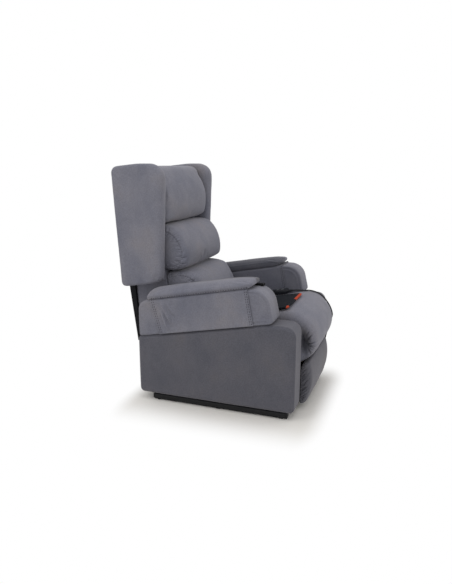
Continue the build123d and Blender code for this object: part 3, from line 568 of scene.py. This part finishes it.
def stitches(name, line, normals, body, pitch=12.0, length=8.2, radius=1.1, lift=0.4):
    """Row of thread stitches along a line, half sunk in the cloth."""
    fine = resample(np.column_stack([line, normals]), 1.0)
    run = np.concatenate([[0.0], np.cumsum(np.linalg.norm(np.diff(fine[:, :3], axis=0), axis=1))])
    work = bmesh.new()
    start = pitch / 2
    while start + length < run[-1]:
        rings = []
        for share, scale in STITCH_SHAPE:
            place = start + share * length
            here = np.array([np.interp(place, run, fine[:, k]) for k in range(6)])
            ahead = np.array([np.interp(place + 0.5, run, fine[:, k]) for k in range(3)])
            way = ahead - here[:3]
            way /= max(np.linalg.norm(way), 1e-9)
            up = here[3:] / max(np.linalg.norm(here[3:]), 1e-9)
            side = np.cross(way, up)
            centre = here[:3] + up * (lift - STITCH_SINK * (2 * share - 1) ** 2)
            ring = []
            for k in range(STITCH_SIDES):
                angle = 2 * k * math.pi / STITCH_SIDES
                spot = centre + radius * scale * (math.cos(angle) * side + math.sin(angle) * up)
                ring.append(work.verts.new(Vector(spot) * MM))
            rings.append(ring)
        for low, high in zip(rings, rings[1:]):
            for k in range(STITCH_SIDES):
                after = (k + 1) % STITCH_SIDES
                work.faces.new((low[k], low[after], high[after], high[k]))
        work.faces.new(rings[0])
        work.faces.new(rings[-1])
        start += pitch
    bmesh.ops.recalc_face_normals(work, faces=work.faces)
    mesh = bpy.data.meshes.new(name)
    work.to_mesh(mesh)
    work.free()
    return dress(link(name, mesh), body, "upholstery", THREAD)


# Cord of the hand control: the route's own points, from the panel up to the hand control
CORD_ROUTE = (
    (304, -454, 108), (304, -472, 119), (301, -472, 142), (292, -469, 170), (280, -473, 215),
    (271, -484, 265), (265, -496, 308), (262, -507, 343), (260, -515, 376), (256, -498, 421),
    (251, -475, 456), (246, -455, 478), (237, -430, 497.5), (224, -387, 510.5), (213, -349, 507),
    (205, -313.8, 509.9), (205, -290.6, 505.3))
CORD_R = 3.5


def cord():
    curve = bpy.data.curves.new("hand_control_cord", "CURVE")
    curve.dimensions = "3D"
    spline = curve.splines.new("NURBS")
    spline.points.add(len(CORD_ROUTE) - 1)
    for point, place in zip(spline.points, CORD_ROUTE):
        point.co = (*(c * MM for c in place), 1.0)
    spline.order_u = 3
    spline.use_endpoint_u = True
    spline.resolution_u = 12
    curve.bevel_depth = CORD_R * MM
    curve.bevel_resolution = 4
    curve.use_fill_caps = True
    obj = link("hand_control_cord", curve)
    curve.materials.append(MATS["cord_sheath"])
    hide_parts("handset_cord")
    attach(obj, "chassis")
    [c * MM for c in CORD_ROUTE[0]]
    return obj


cord()


# Padded pieces
CUSHION_MESH = 9.0
CUSHION_RELAX = 5


def end_drop(points, half, radius):
    """How far a round of this radius at both ends of a cushion falls away at each point."""
    beyond = np.clip(np.abs(points[:, 0]) - (half - radius), 0.0, radius)
    return radius - np.sqrt(np.maximum(radius ** 2 - beyond ** 2, 0.0))


def round_ends(points, half, radius, centre, size):
    """Draws the ends of a cushion in about its centre, so that they round off."""
    scale = (1.0 - end_drop(points, half, radius) / size)[:, None]
    result = points.copy()
    result[:, 1:] = centre + (points[:, 1:] - centre) * scale
    return result


def about(points, centre):
    """Angle from the front, upwards, and distance of each point around a line along X."""
    back = centre[0] - points[:, 1]
    up = points[:, 2] - centre[1]
    return np.arctan2(up, back), np.hypot(up, back)


PROFILE_CELLS = 96


def profile_radius(points, angle, radius, half):
    """Radius of the cushion's middle outline at each point's angle."""
    inner = np.abs(points[:, 0]) < 0.6 * half
    cells = np.linspace(-math.pi, math.pi, PROFILE_CELLS + 1)
    which = np.digitize(angle[inner], cells)
    best = np.array([radius[inner][which == k].max(initial=1.0) for k in range(1, PROFILE_CELLS + 1)])
    return np.interp(angle, (cells[:-1] + cells[1:]) / 2, best, period=2.0 * math.pi)


BODY_LOW = (236.0, 426.0)
BODY_RISE = (156.0, 740.0)


def body_plane(z):
    """Y of the back body's front face at a height."""
    return BODY_LOW[0] + BODY_RISE[0] * (z - BODY_LOW[1]) / BODY_RISE[1]


RUN_SCALE = 120.0     # length of seam per radian around the end
RUN_SHIFT = 40.0      # sets the creases of both ends apart


def gathered_end(points, half, centre, seam, seed, pitch, reach, lean, width, strength):
    """Boxed ends: a seam inside the outline of each end, with the front cloth gathered into it."""
    angle, radius = about(points, centre)
    full = profile_radius(points, angle, radius, half)
    inset = full - radius
    x = np.abs(points[:, 0])
    on_end = smoothstep(half - 26.0, half - 8.0, x)
    depth = np.maximum(seam - inset, 0.0) + np.maximum(half - x, 0.0)
    inside = smoothstep(seam + 2.0, seam - 2.0, inset)
    run = angle * RUN_SCALE + RUN_SHIFT * np.sign(points[:, 0])
    within = np.maximum(inset - seam, 0.0)
    amount = -strength * gathers(run, depth, seed, pitch, reach, lean, width) * inside
    end_creases = gathers(run, within, seed + 2, pitch, 0.5 * reach, -lean, width)
    amount -= 0.8 * strength * on_end * (1.0 - inside) * end_creases
    amount -= 3.4 * on_end * np.exp(-((inset - seam) / 2.2) ** 2)
    amount += 1.8 * on_end * np.exp(-((inset - seam + 9.0) / 6.0) ** 2)
    return amount


PILLOW_SIZE = 112.0
PILLOW_HELD = 14.0    # depth of the rear that rests on the back


def pillow(name, node, half, z_low, z_high, seed, ends, strength):
    obj, _, points = even_copy(name, node, CUSHION_MESH, CUSHION_RELAX)
    middle = (z_low + z_high) / 2
    centre = np.array([body_plane(middle), middle])
    points = round_ends(points, half, ends, centre, PILLOW_SIZE)
    set_points(obj.data, points)
    depth = body_plane(points[:, 2]) - points[:, 1]
    held = np.where(depth < PILLOW_HELD, 1.0, 0.0)
    swell(obj, held, cap=8.0)
    mesh = refine(obj)
    points = get_points(mesh)
    depth = body_plane(points[:, 2]) - points[:, 1]
    normals = get_normals(mesh)
    amount = gathered_end(points, half, centre, seam=34.0, seed=seed, pitch=13.0, reach=78.0,
                          lean=0.3, width=3.6, strength=strength)
    amount += 1.5 * uneven(points, 190.0, seed)
    points = offset(points, normals, amount * smoothstep(6.0, 30.0, depth))
    set_points(mesh, points)
    return dress(obj, "back", "upholstery", SUEDE, node, fill=0.75)


pillow("head_cushion", "head_pillow", PILLOW_X, 903, 1158, 11, 24.0, 0.7)
pillow("middle_cushion", "mid_pillow", PILLOW_X, 669, 893, 23, 30.0, 6.0)
pillow("lumbar_cushion", "lumbar_pillow", LUMBAR_X, 446, 651, 37, 30.0, 6.5)


SEAT_T = 125.0
SEAT_END = 30.0                  # round of the cushion's ends
DENT = (-455.0, 335.0)           # middle of the hollow in each end of the roll
DENT_SPREAD = (32.0, 72.0)
DENT_DEPTH = 96.0
FULLER = 0.044                   # the roll is fuller where the cord runs over it


def seat_under(y):
    top = ROLL[1] + ROLL_R * CS - FALL * (y - (ROLL[0] + ROLL_R * SN))
    return top - SEAT_T / CS


def seat():
    obj, _, points = even_copy("seat_pad", "seat_cushion", CUSHION_MESH, CUSHION_RELAX)
    centre = np.array(ROLL)
    around = np.degrees(about(points, centre)[0])
    rolled = round_ends(points, CUSHION_X, SEAT_END, centre, ROLL_R)
    end = smoothstep(CUSHION_X - 95.0, CUSHION_X - 10.0, np.abs(points[:, 0]))
    across = (points[:, 1] - DENT[0]) / DENT_SPREAD[0]
    along = (points[:, 2] - DENT[1]) / DENT_SPREAD[1]
    dent = np.exp(-across ** 2 - along ** 2)
    rolled[:, 0] -= np.sign(points[:, 0]) * DENT_DEPTH * end * dent
    fuller = FULLER * smoothstep(120.0, CUSHION_X - 10.0, points[:, 0]) * smoothstep(-40.0, 0.0, around)
    rolled[:, 1:] += (rolled[:, 1:] - centre) * fuller[:, None]
    flat = points.copy()
    drop = end_drop(points, CUSHION_X, SEAT_END)
    under = seat_under(points[:, 1])
    flat[:, 2] = under + (points[:, 2] - under) * (1.0 - 0.5 * drop / SEAT_T)
    share = smoothstep(-250.0, -330.0, points[:, 1])[:, None]
    points = flat * (1.0 - share) + rolled * share
    set_points(obj.data, points)
    above = points[:, 2] - seat_under(points[:, 1])
    low_roll = (around < -55.0) & (points[:, 1] < -250.0)
    held = np.where((above < 60.0) & (points[:, 1] > -300.0) | low_roll, 1.0, 0.0)
    held = np.maximum(held, np.where(end > 0.3, 0.75, 0.0))
    swell(obj, held, cap=5.0, pressure=3.0)
    mesh = refine(obj)
    edges = get_edges(mesh)
    points = get_points(mesh)
    normals = get_normals(mesh)
    x = np.abs(points[:, 0])
    turn, apart = about(points, np.array(DENT))
    depth = np.maximum(apart - 16.0, 0.0) + 0.8 * np.maximum(CUSHION_X - 24.0 - x, 0.0)
    zone = smoothstep(100.0, 70.0, np.abs(np.degrees(turn)))
    zone *= smoothstep(CUSHION_X - 130.0, CUSHION_X - 60.0, x)
    run = turn * 58.0 + 30.0 * np.sign(points[:, 0])
    folds = gathers(run, depth, 5, pitch=13.0, reach=92.0, lean=0.0, width=3.8)
    amount = -15.0 * folds * zone + 1.5 * uneven(points, 230.0, 9)
    points = offset(points, normals, amount)
    set_points(mesh, relaxed(points, edges, 1, 0.25))
    return dress(obj, "chassis", "upholstery", SUEDE, "seat_cushion", fill=0.8)


seat()


LEG_REAR, LEG_MIDDLE = -444.0, 118.0
LEG_END = 34.0        # round of the pad's ends
LEG_TUCK = 205.0      # above this the pad lies under the roll


def leg_pad():
    obj, _, points = even_copy("leg_pad", "legrest_pad", CUSHION_MESH, CUSHION_RELAX)
    drop = end_drop(points, PAD_X, LEG_END)
    points[:, 1] = LEG_REAR + (points[:, 1] - LEG_REAR) * (1.0 - drop / 62.0)
    points[:, 2] = LEG_MIDDLE + (points[:, 2] - LEG_MIDDLE) * (1.0 - 0.12 * drop / 110.0)
    set_points(obj.data, points)
    held = np.where((points[:, 1] > LEG_REAR - 12.0) | (points[:, 2] > LEG_TUCK), 1.0, 0.0)
    swell(obj, held, cap=5.0, pressure=3.0)
    mesh = refine(obj)
    edges = get_edges(mesh)
    points = get_points(mesh)
    normals = get_normals(mesh)
    forward = LEG_REAR - points[:, 1]
    depth = np.maximum(forward, 0.0) + np.maximum(PAD_X - np.abs(points[:, 0]), 0.0)
    front = smoothstep(2.0, 12.0, forward)
    pleats = gathers(points[:, 2], depth, 41, pitch=13.0, reach=88.0, lean=0.75, width=3.8)
    amount = -12.0 * front * pleats * smoothstep(250.0, 190.0, points[:, 2])
    amount += 1.3 * uneven(points, 210.0, 43) * front
    points = offset(points, normals, amount)
    set_points(mesh, relaxed(points, edges, 1, 0.25))
    return dress(obj, "legrest", "upholstery", SUEDE_LEG_PAINTED_SHADE, "legrest_pad", fill=0.7)


leg_pad()

# Outlines of panels, arms and wings in (Y, Z), and the rounds of their corners
PANEL_LINE, PANEL_TOP, PANEL_BOTTOM = 410.5, 467.0, 39.0
PANEL_FRONT, PANEL_REAR = -452.0, 371.0
PANEL_POINTS = [
    (PANEL_REAR, PANEL_BOTTOM), (PANEL_FRONT, PANEL_BOTTOM), (PANEL_FRONT, PANEL_TOP),
    ((PANEL_LINE - PANEL_TOP) / ARM_FALL, PANEL_TOP), (PANEL_REAR, PANEL_LINE - ARM_FALL * PANEL_REAR)]
PANEL_RADII = [22, 22, 52, 60, 12]
ARM_FRONT, ARM_NOSE, ARM_REAR = -344.0, -310.5, 364.0
ARM_POINTS = [
    (ARM_REAR, ARM_BOTTOM - ARM_FALL * ARM_REAR), (ARM_FRONT, ARM_BOTTOM - ARM_FALL * ARM_FRONT),
    (ARM_NOSE, ARM_CREST), ((ARM_TOP - ARM_CREST) / ARM_FALL, ARM_CREST),
    (ARM_REAR, ARM_TOP - ARM_FALL * ARM_REAR)]
ARM_RADII = [12, 18, 86, 60, 46]
WING_POINTS = [(488, 579), (526, 1189), (380, 1204.5), (236, 1204.5), (250, 880), (260, 618), (300, 611)]
WING_RADII = [24, 34, 300, 70, 200, 30, 40]


def seamed(points, normals, lines, depth, width, puff):
    """Sewn-in seams with the cloth rising a little on both sides."""
    gap = np.full(len(points), 1e9)
    for line in lines:
        gap = np.minimum(gap, near_line(points, line)[0])
    rise = puff * np.exp(-((gap - 2.8 * width) / (1.7 * width)) ** 2)
    return offset(points, normals, rise - depth * np.exp(-(gap / width) ** 2))


def longest_run(line, keep):
    """Longest unbroken stretch of a closed line whose points are kept."""
    if keep.all():
        return line
    first = int(np.nonzero(~keep)[0][0])
    turned, kept = np.roll(line, -first, axis=0), np.roll(keep, -first)
    best, start = (0, 0), None
    for k, flag in enumerate(list(kept) + [False]):
        if flag and start is None:
            start = k
        if not flag and start is not None:
            if k - start > best[1] - best[0]:
                best = (start, k)
            start = None
    return turned[best[0]:best[1]]


PANEL_SEAM = 5.0


def side_panel(side, sign):
    obj, _, points = even_copy(side + "_panel_cover", side + "_side_panel", 6.0, 3)
    mesh = obj.data
    set_points(mesh, points)
    normals = get_normals(mesh)
    line = at_x(outline(PANEL_POINTS, PANEL_RADII, PANEL_SEAM), sign * (OUTER_X - PANEL_SEAM))
    points = seamed(points, normals, [line], depth=2.2, width=3.5, puff=1.0)
    outer = smoothstep(OUTER_X - 30.0, OUTER_X - 4.0, sign * points[:, 0])
    edge_gap = near_line(points, line)[0]
    amount = outer * (2.2 * smoothstep(0.0, 150.0, edge_gap) + 0.9 * uneven(points, 260.0, 61))
    points = offset(points, normals, amount)
    set_points(mesh, points)
    return dress(obj, "chassis", "upholstery", SUEDE_SIDE_PAINTED_SHADE, side + "_side_panel", fill=0.9)


ARM_SEAM = 15.0


def arm(side, sign):
    obj, _, points = even_copy(side + "_arm_core", side + "_arm", 5.0, 2)
    mesh = obj.data
    set_points(mesh, points)
    normals = get_normals(mesh)
    edge = outline(ARM_POINTS, ARM_RADII, ARM_SEAM)
    edge = longest_run(edge, edge[:, 0] < COVER_FRONT + 30.0)
    lines = [at_x(edge, sign * x) for x in (ARM_X, OUTER_X)]
    points = seamed(points, normals, lines, depth=2.4, width=3.4, puff=1.6)
    covered = smoothstep(COVER_FRONT - 34.0, COVER_FRONT - 4.0, points[:, 1])
    covered *= smoothstep(COVER_REAR + 40.0, COVER_REAR + 8.0, points[:, 1])
    amount = (1.0 - covered) * (1.3 * uneven(points, 150.0, 71))
    points = offset(points, normals, amount - 0.5 * covered)
    set_points(mesh, points)
    return dress(obj, "chassis", "upholstery", SUEDE_ARM_INNER_SHADE, side + "_arm", fill=0.85)


def arm_frame(sign):
    """Maps (across, up, along) of the arm to the chair; along runs from the cover's rear to its front."""
    foot = np.array([0.0, COVER_REAR, ARM_BOTTOM - ARM_FALL * COVER_REAR])

    def place(across, up, along):
        spot = np.empty((len(across), 3))
        spot[:, 0] = sign * across
        spot[:, 1] = foot[1] - ACS * along + ASN * up
        spot[:, 2] = foot[2] + ASN * along + ACS * up
        return spot
    return place


ARM_H = (ARM_TOP - ARM_BOTTOM) * ACS
COVER_L = (COVER_REAR - COVER_FRONT) / ACS
REAR_SLANT = 16.0
COVER_FOOT = 2.5      # the cover's lower edges above the arm's foot
COVER_OFF = 0.8       # between arm and cover
COVER_CLOTH = 2.2     # thickness of its cloth
COVER_STEPS = 200
HEM_ROWS = (6.0, 15.0)
# Folds at the rear of the outer side: (Y, Z) of both ends, width and height
COVER_FOLDS = (((236, 550), (160, 412), 10.0, 16.0), ((232, 500), (184, 380), 8.0, 13.0),
               ((206, 545), (150, 462), 9.0, 8.0))


def cover_path(grow):
    """Arch over the arm from the outer lower edge to the inner one: (across, up) and outward normals."""
    left, right, top = ARM_X - grow, OUTER_X + grow, ARM_H + grow
    radius = 11.0 + grow
    path = [(right, COVER_FOOT), (right, top - radius)]
    path += [(right - radius + radius * math.cos(a), top - radius + radius * math.sin(a))
             for a in np.linspace(0.0, math.pi / 2, 9)[1:]]
    path += [(left + radius + radius * math.cos(a), top - radius + radius * math.sin(a))
             for a in np.linspace(math.pi / 2, math.pi, 9)]
    path += [(left, COVER_FOOT)]
    line = resample(np.array(path), 5.0)
    way = np.gradient(line, axis=0)
    way /= np.linalg.norm(way, axis=1)[:, None]
    return line, np.column_stack([way[:, 1], -way[:, 0]])


def arm_cover(side, sign):
    place = arm_frame(sign)
    line, normal = cover_path(COVER_OFF)
    rows = len(line)
    alongs = np.linspace(0.0, COVER_L, COVER_STEPS)
    across = np.tile(line[:, 0], len(alongs))
    up = np.tile(line[:, 1], len(alongs))
    along = np.repeat(alongs, rows)
    slid = along - REAR_SLANT * np.clip(up / ARM_H, 0.0, 1.0) * smoothstep(150.0, 0.0, along)
    nx = np.tile(normal[:, 0], len(alongs))
    nu = np.tile(normal[:, 1], len(alongs))
    flat = place(across, up, slid)
    outer_side = across > OUTER_X - 2.0
    drag = np.zeros(len(flat))
    for a, b, width, height in COVER_FOLDS:
        drag += height * fold(flat, (sign * OUTER_X, *a), (sign * OUTER_X, *b), width)
    hem = np.minimum(along, COVER_L - along)
    hem_rise = 1.4 * smoothstep(26.0, 8.0, hem) + 0.8 * smoothstep(6.0, 0.0, hem)
    stitch_dip = sum(np.exp(-((hem - row) / 1.6) ** 2) for row in HEM_ROWS)
    lift = 0.9 * (0.5 + 0.5 * uneven(flat, 150.0, 81)) + drag * outer_side + hem_rise - 1.6 * stitch_dip
    lift = np.maximum(lift, 0.0)
    layers = []
    for grow in (lift, lift + COVER_CLOTH):
        layers.append(place(across + nx * grow, up + nu * grow, slid))
    points = np.concatenate(layers)
    count = len(flat)
    faces = []
    for k in range(len(alongs) - 1):
        for j in range(rows - 1):
            a = k * rows + j
            quad = (a, a + 1, a + rows + 1, a + rows)
            faces.append(quad)
            faces.append(tuple(count + q for q in reversed(quad)))
    rim = list(range(rows)) + [k * rows + rows - 1 for k in range(1, len(alongs))]
    rim += [(len(alongs) - 1) * rows + j for j in range(rows - 2, -1, -1)]
    rim += [k * rows for k in range(len(alongs) - 2, 0, -1)]
    for a, b in zip(rim, rim[1:] + rim[:1]):
        faces.append((b, a, count + a, count + b))
    mesh = bpy.data.meshes.new(side + "_cover")
    mesh.from_pydata([tuple(p * MM) for p in points], [], faces)
    work = bmesh.new()
    work.from_mesh(mesh)
    bmesh.ops.recalc_face_normals(work, faces=work.faces)
    work.to_mesh(mesh)
    work.free()
    obj = link(side + "_cover", mesh)
    dress(obj, "chassis", "upholstery", SUEDE_ARM_INNER_SHADE, side + "_arm_cover")
    arch = np.linalg.norm(np.diff(line, axis=0), axis=1).sum()
    none = np.zeros(rows)
    out = place(nx[:rows], nu[:rows], none) - place(none, none, none)
    for row in HEM_ROWS:
        for end, tag in ((row, "rear"), (COVER_L - row, "front")):
            column = int(round(end / COVER_L * (len(alongs) - 1)))
            here = slice(column * rows, (column + 1) * rows)
            top = lift[here] + COVER_CLOTH
            spot = place(across[:rows] + nx[:rows] * top, up[:rows] + nu[:rows] * top,
                         slid[here] + end - alongs[column])
            stitches("%s_cover_%s_stitch_%d" % (side, tag, row), spot, out, "chassis")
    return obj


PAD_INNER = ARM_X - 4.0    # the pad's inner side is flush with the cover's
PAD_RIM = 8.0              # and its rim reaches down over the cover's corner
PAD_BASE = 3.8             # the pad's underside above the arm
PAD_STITCH = 3.3           # the row of stitches outside the arm's outer side


def arm_pad(side, sign):
    obj, _, points = even_copy(side + "_arm_cushion", side + "_arm_pad", 4.0, 3)
    mesh = obj.data
    up = (points[:, 2] - (ARM_BOTTOM - ARM_FALL * COVER_REAR)) * ACS + (points[:, 1] - COVER_REAR) * ASN
    height = up - ARM_H - PAD_BASE
    inside = np.maximum(sign * points[:, 0], PAD_INNER)
    points[:, 0] = sign * inside
    rim = PAD_RIM * smoothstep(PAD_INNER + 6.0, PAD_INNER, inside) * smoothstep(6.0, 0.0, height)
    points[:, 1] -= ASN * rim
    points[:, 2] -= ACS * rim
    set_points(mesh, points)
    normals = get_normals(mesh)
    low = smoothstep(PAD_NECK + 6.0, PAD_NECK, height)
    swell(obj, low, cap=4.0, pressure=3.0)
    points = get_points(mesh)
    amount = 1.2 * uneven(points, 120.0, 91) * (1.0 - low)
    side_face = smoothstep(0.3, 0.6, sign * normals[:, 0])
    amount -= 1.6 * np.exp(-((height - PAD_NECK) / 2.4) ** 2) * side_face
    points = offset(points, normals, amount)
    set_points(mesh, points)
    place = arm_frame(sign)
    alongs = np.arange(-18.0, COVER_L + 8.0, 4.0) - PAD_SLIP[side]
    across = np.full(len(alongs), OUTER_X + PAD_STITCH)
    up = np.full(len(alongs), ARM_H + PAD_BASE + 0.55 * PAD_NECK)
    out = np.tile([sign, 0.0, 0.0], (len(alongs), 1))
    stitches(side + "_pad_outer_stitch", place(across, up, alongs), out, "chassis",
             pitch=13.0, length=9.4, radius=1.2)
    return dress(obj, "chassis", "upholstery", SUEDE_PAD_INNER_SHADE, side + "_arm_pad", fill=0.7)


def wing(side, sign):
    obj, edges, points = even_copy(side + "_wing_cushion", side + "_wing", 5.5, 3)
    mesh = obj.data
    soft = smoothstep(330.0, 280.0, points[:, 1])[:, None]
    points += soft * (relaxed(points, edges, 60) - points)
    set_points(mesh, points)
    normals = get_normals(mesh)
    gap = near_line(points, at_x(outline(WING_POINTS, WING_RADII, 8.0), sign * (WING_X - 0.5)))[0]
    outer = smoothstep(WING_X - 16.0, WING_X - 3.0, sign * points[:, 0])
    amount = outer * (2.5 * smoothstep(0.0, 110.0, gap) + 1.2 * uneven(points, 240.0, 101))
    low = fold(points, (sign * WING_X, 284, 664), (sign * WING_X, 296, 606), 8.0)
    low += fold(points, (sign * WING_X, 268, 640), (sign * WING_X, 282, 606), 6.0)
    points = offset(points, normals, amount - 4.0 * low)
    set_points(mesh, points)
    return dress(obj, "back", "upholstery", SUEDE, side + "_wing", fill=0.85)


def back_body():
    obj, _, points = even_copy("back_cover", "back_body", 8.0, 1, 0.3)
    set_points(obj.data, points)
    return dress(obj, "back", "upholstery", SUEDE, "back_body", fill=0.9)


for side, sign in (("left", 1.0), ("right", -1.0)):
    side_panel(side, sign)
    arm(side, sign)
    arm_cover(side, sign)
    arm_pad(side, sign)
    wing(side, sign)
back_body()


def seat_mat():
    obj, _, points = even_copy("seat_mat_cloth", "seat_mat", 4.0, 3)
    mesh = obj.data
    set_points(mesh, points)
    normals = get_normals(mesh)
    top = smoothstep(0.3, 0.8, normals[:, 2])
    points = offset(points, normals, 1.2 * uneven(points, 90.0, 111) * top)
    set_points(mesh, points)
    return dress(obj, "chassis", "mat_cloth", MATS["mat_cloth"], "seat_mat", fill=0.5)


seat_mat()


# Floor, light and background
FLOOR_HALF = 9.0
# Where the floor's tone gives way to white: middle, half length and width of the fade along each axis
FLOOR_FADE = (("X", -0.12, 0.27, 0.30), ("Y", -0.07, 0.42, 0.13))
FADE_START = 0.05
WORLD_LEVEL = 0.80


def seen_by(tree, *rays):
    """1 for these kinds of ray and 0 for others."""
    path = add(tree, "ShaderNodeLightPath").outputs
    seen = path[rays[0]]
    for ray in rays[1:]:
        seen = calc(tree, "MAXIMUM", seen, path[ray])
    return seen


def blend(tree, factor, first, second, output):
    node = add(tree, "ShaderNodeMixShader")
    tree.links.new(factor, node.inputs[0])
    tree.links.new(first.outputs[0], node.inputs[1])
    tree.links.new(second.outputs[0], node.inputs[2])
    tree.links.new(node.outputs[0], tree.nodes[output].inputs["Surface"])


def floor():
    mesh = bpy.data.meshes.new("floor")
    corners = [(x * FLOOR_HALF, y * FLOOR_HALF, 0.0) for x, y in ((-1, -1), (1, -1), (1, 1), (-1, 1))]
    mesh.from_pydata(corners, [], [(0, 1, 2, 3)])
    obj = link("floor", mesh)
    mat, tree, bsdf = new_material("floor")
    at = object_coords(tree)
    tone = ramp(tree, noise(tree, at, 1.6, 3.0), [(0.3, (0.80, 0.775, 0.735)), (0.7, (0.84, 0.82, 0.785))])
    tree.links.new(tone, bsdf.inputs["Base Color"])
    bsdf.inputs["Roughness"].default_value = 0.6
    bsdf.inputs["Specular IOR Level"].default_value = 0.2
    white = add(tree, "ShaderNodeEmission")
    white.inputs["Strength"].default_value = 1.0
    place = axes(tree, at)
    reach = []
    for axis, middle, half, width in FLOOR_FADE:
        away = calc(tree, "ABSOLUTE", calc(tree, "SUBTRACT", place[axis], middle))
        share = map_range(tree, away, half, half + width)
        reach.append((calc(tree, "POWER", share, 2.0), 1.0))
    far = calc(tree, "SQRT", total(tree, *reach))
    fade = map_range(tree, far, FADE_START, 1.0, "SMOOTHSTEP")
    seen = seen_by(tree, "Is Camera Ray", "Is Glossy Ray")
    blend(tree, calc(tree, "MULTIPLY", fade, seen), bsdf, white, "Material Output")
    mesh.materials.append(mat)


def sky():
    world = bpy.data.worlds.new("studio")
    bpy.context.scene.world = world
    world.use_nodes = True
    tree = world.node_tree
    soft = tree.nodes["Background"]
    white = add(tree, "ShaderNodeBackground")
    for node, strength in ((soft, WORLD_LEVEL), (white, 1.0)):
        node.inputs["Color"].default_value = (1.0, 1.0, 1.0, 1.0)
        node.inputs["Strength"].default_value = strength
    seen = seen_by(tree, "Is Camera Ray", "Is Glossy Ray", "Is Transmission Ray")
    blend(tree, seen, soft, white, "World Output")


def lamp(name, place, aim, size, power):
    data = bpy.data.lights.new(name, "AREA")
    data.shape = "RECTANGLE"
    data.size, data.size_y = size
    data.energy = power
    obj = bpy.data.objects.new(name, data)
    bpy.context.scene.collection.objects.link(obj)
    obj.location = place
    obj.rotation_euler = (Vector(aim) - Vector(place)).to_track_quat("-Z", "Y").to_euler()


floor()
sky()
lamp("overhead", (-0.5, -0.2, 3.2), (0.0, 0.0, 0.5), (2.4, 2.4), 14.0)
lamp("key", (-2.4, 1.5, 2.7), (-0.1, 0.1, 0.6), (1.6, 1.6), 15.0)
lamp("front", (-1.2, -3.4, 2.0), (0.0, 0.0, 0.6), (2.0, 1.8), 8.0)
bpy.context.scene.view_settings.view_transform = "Standard"
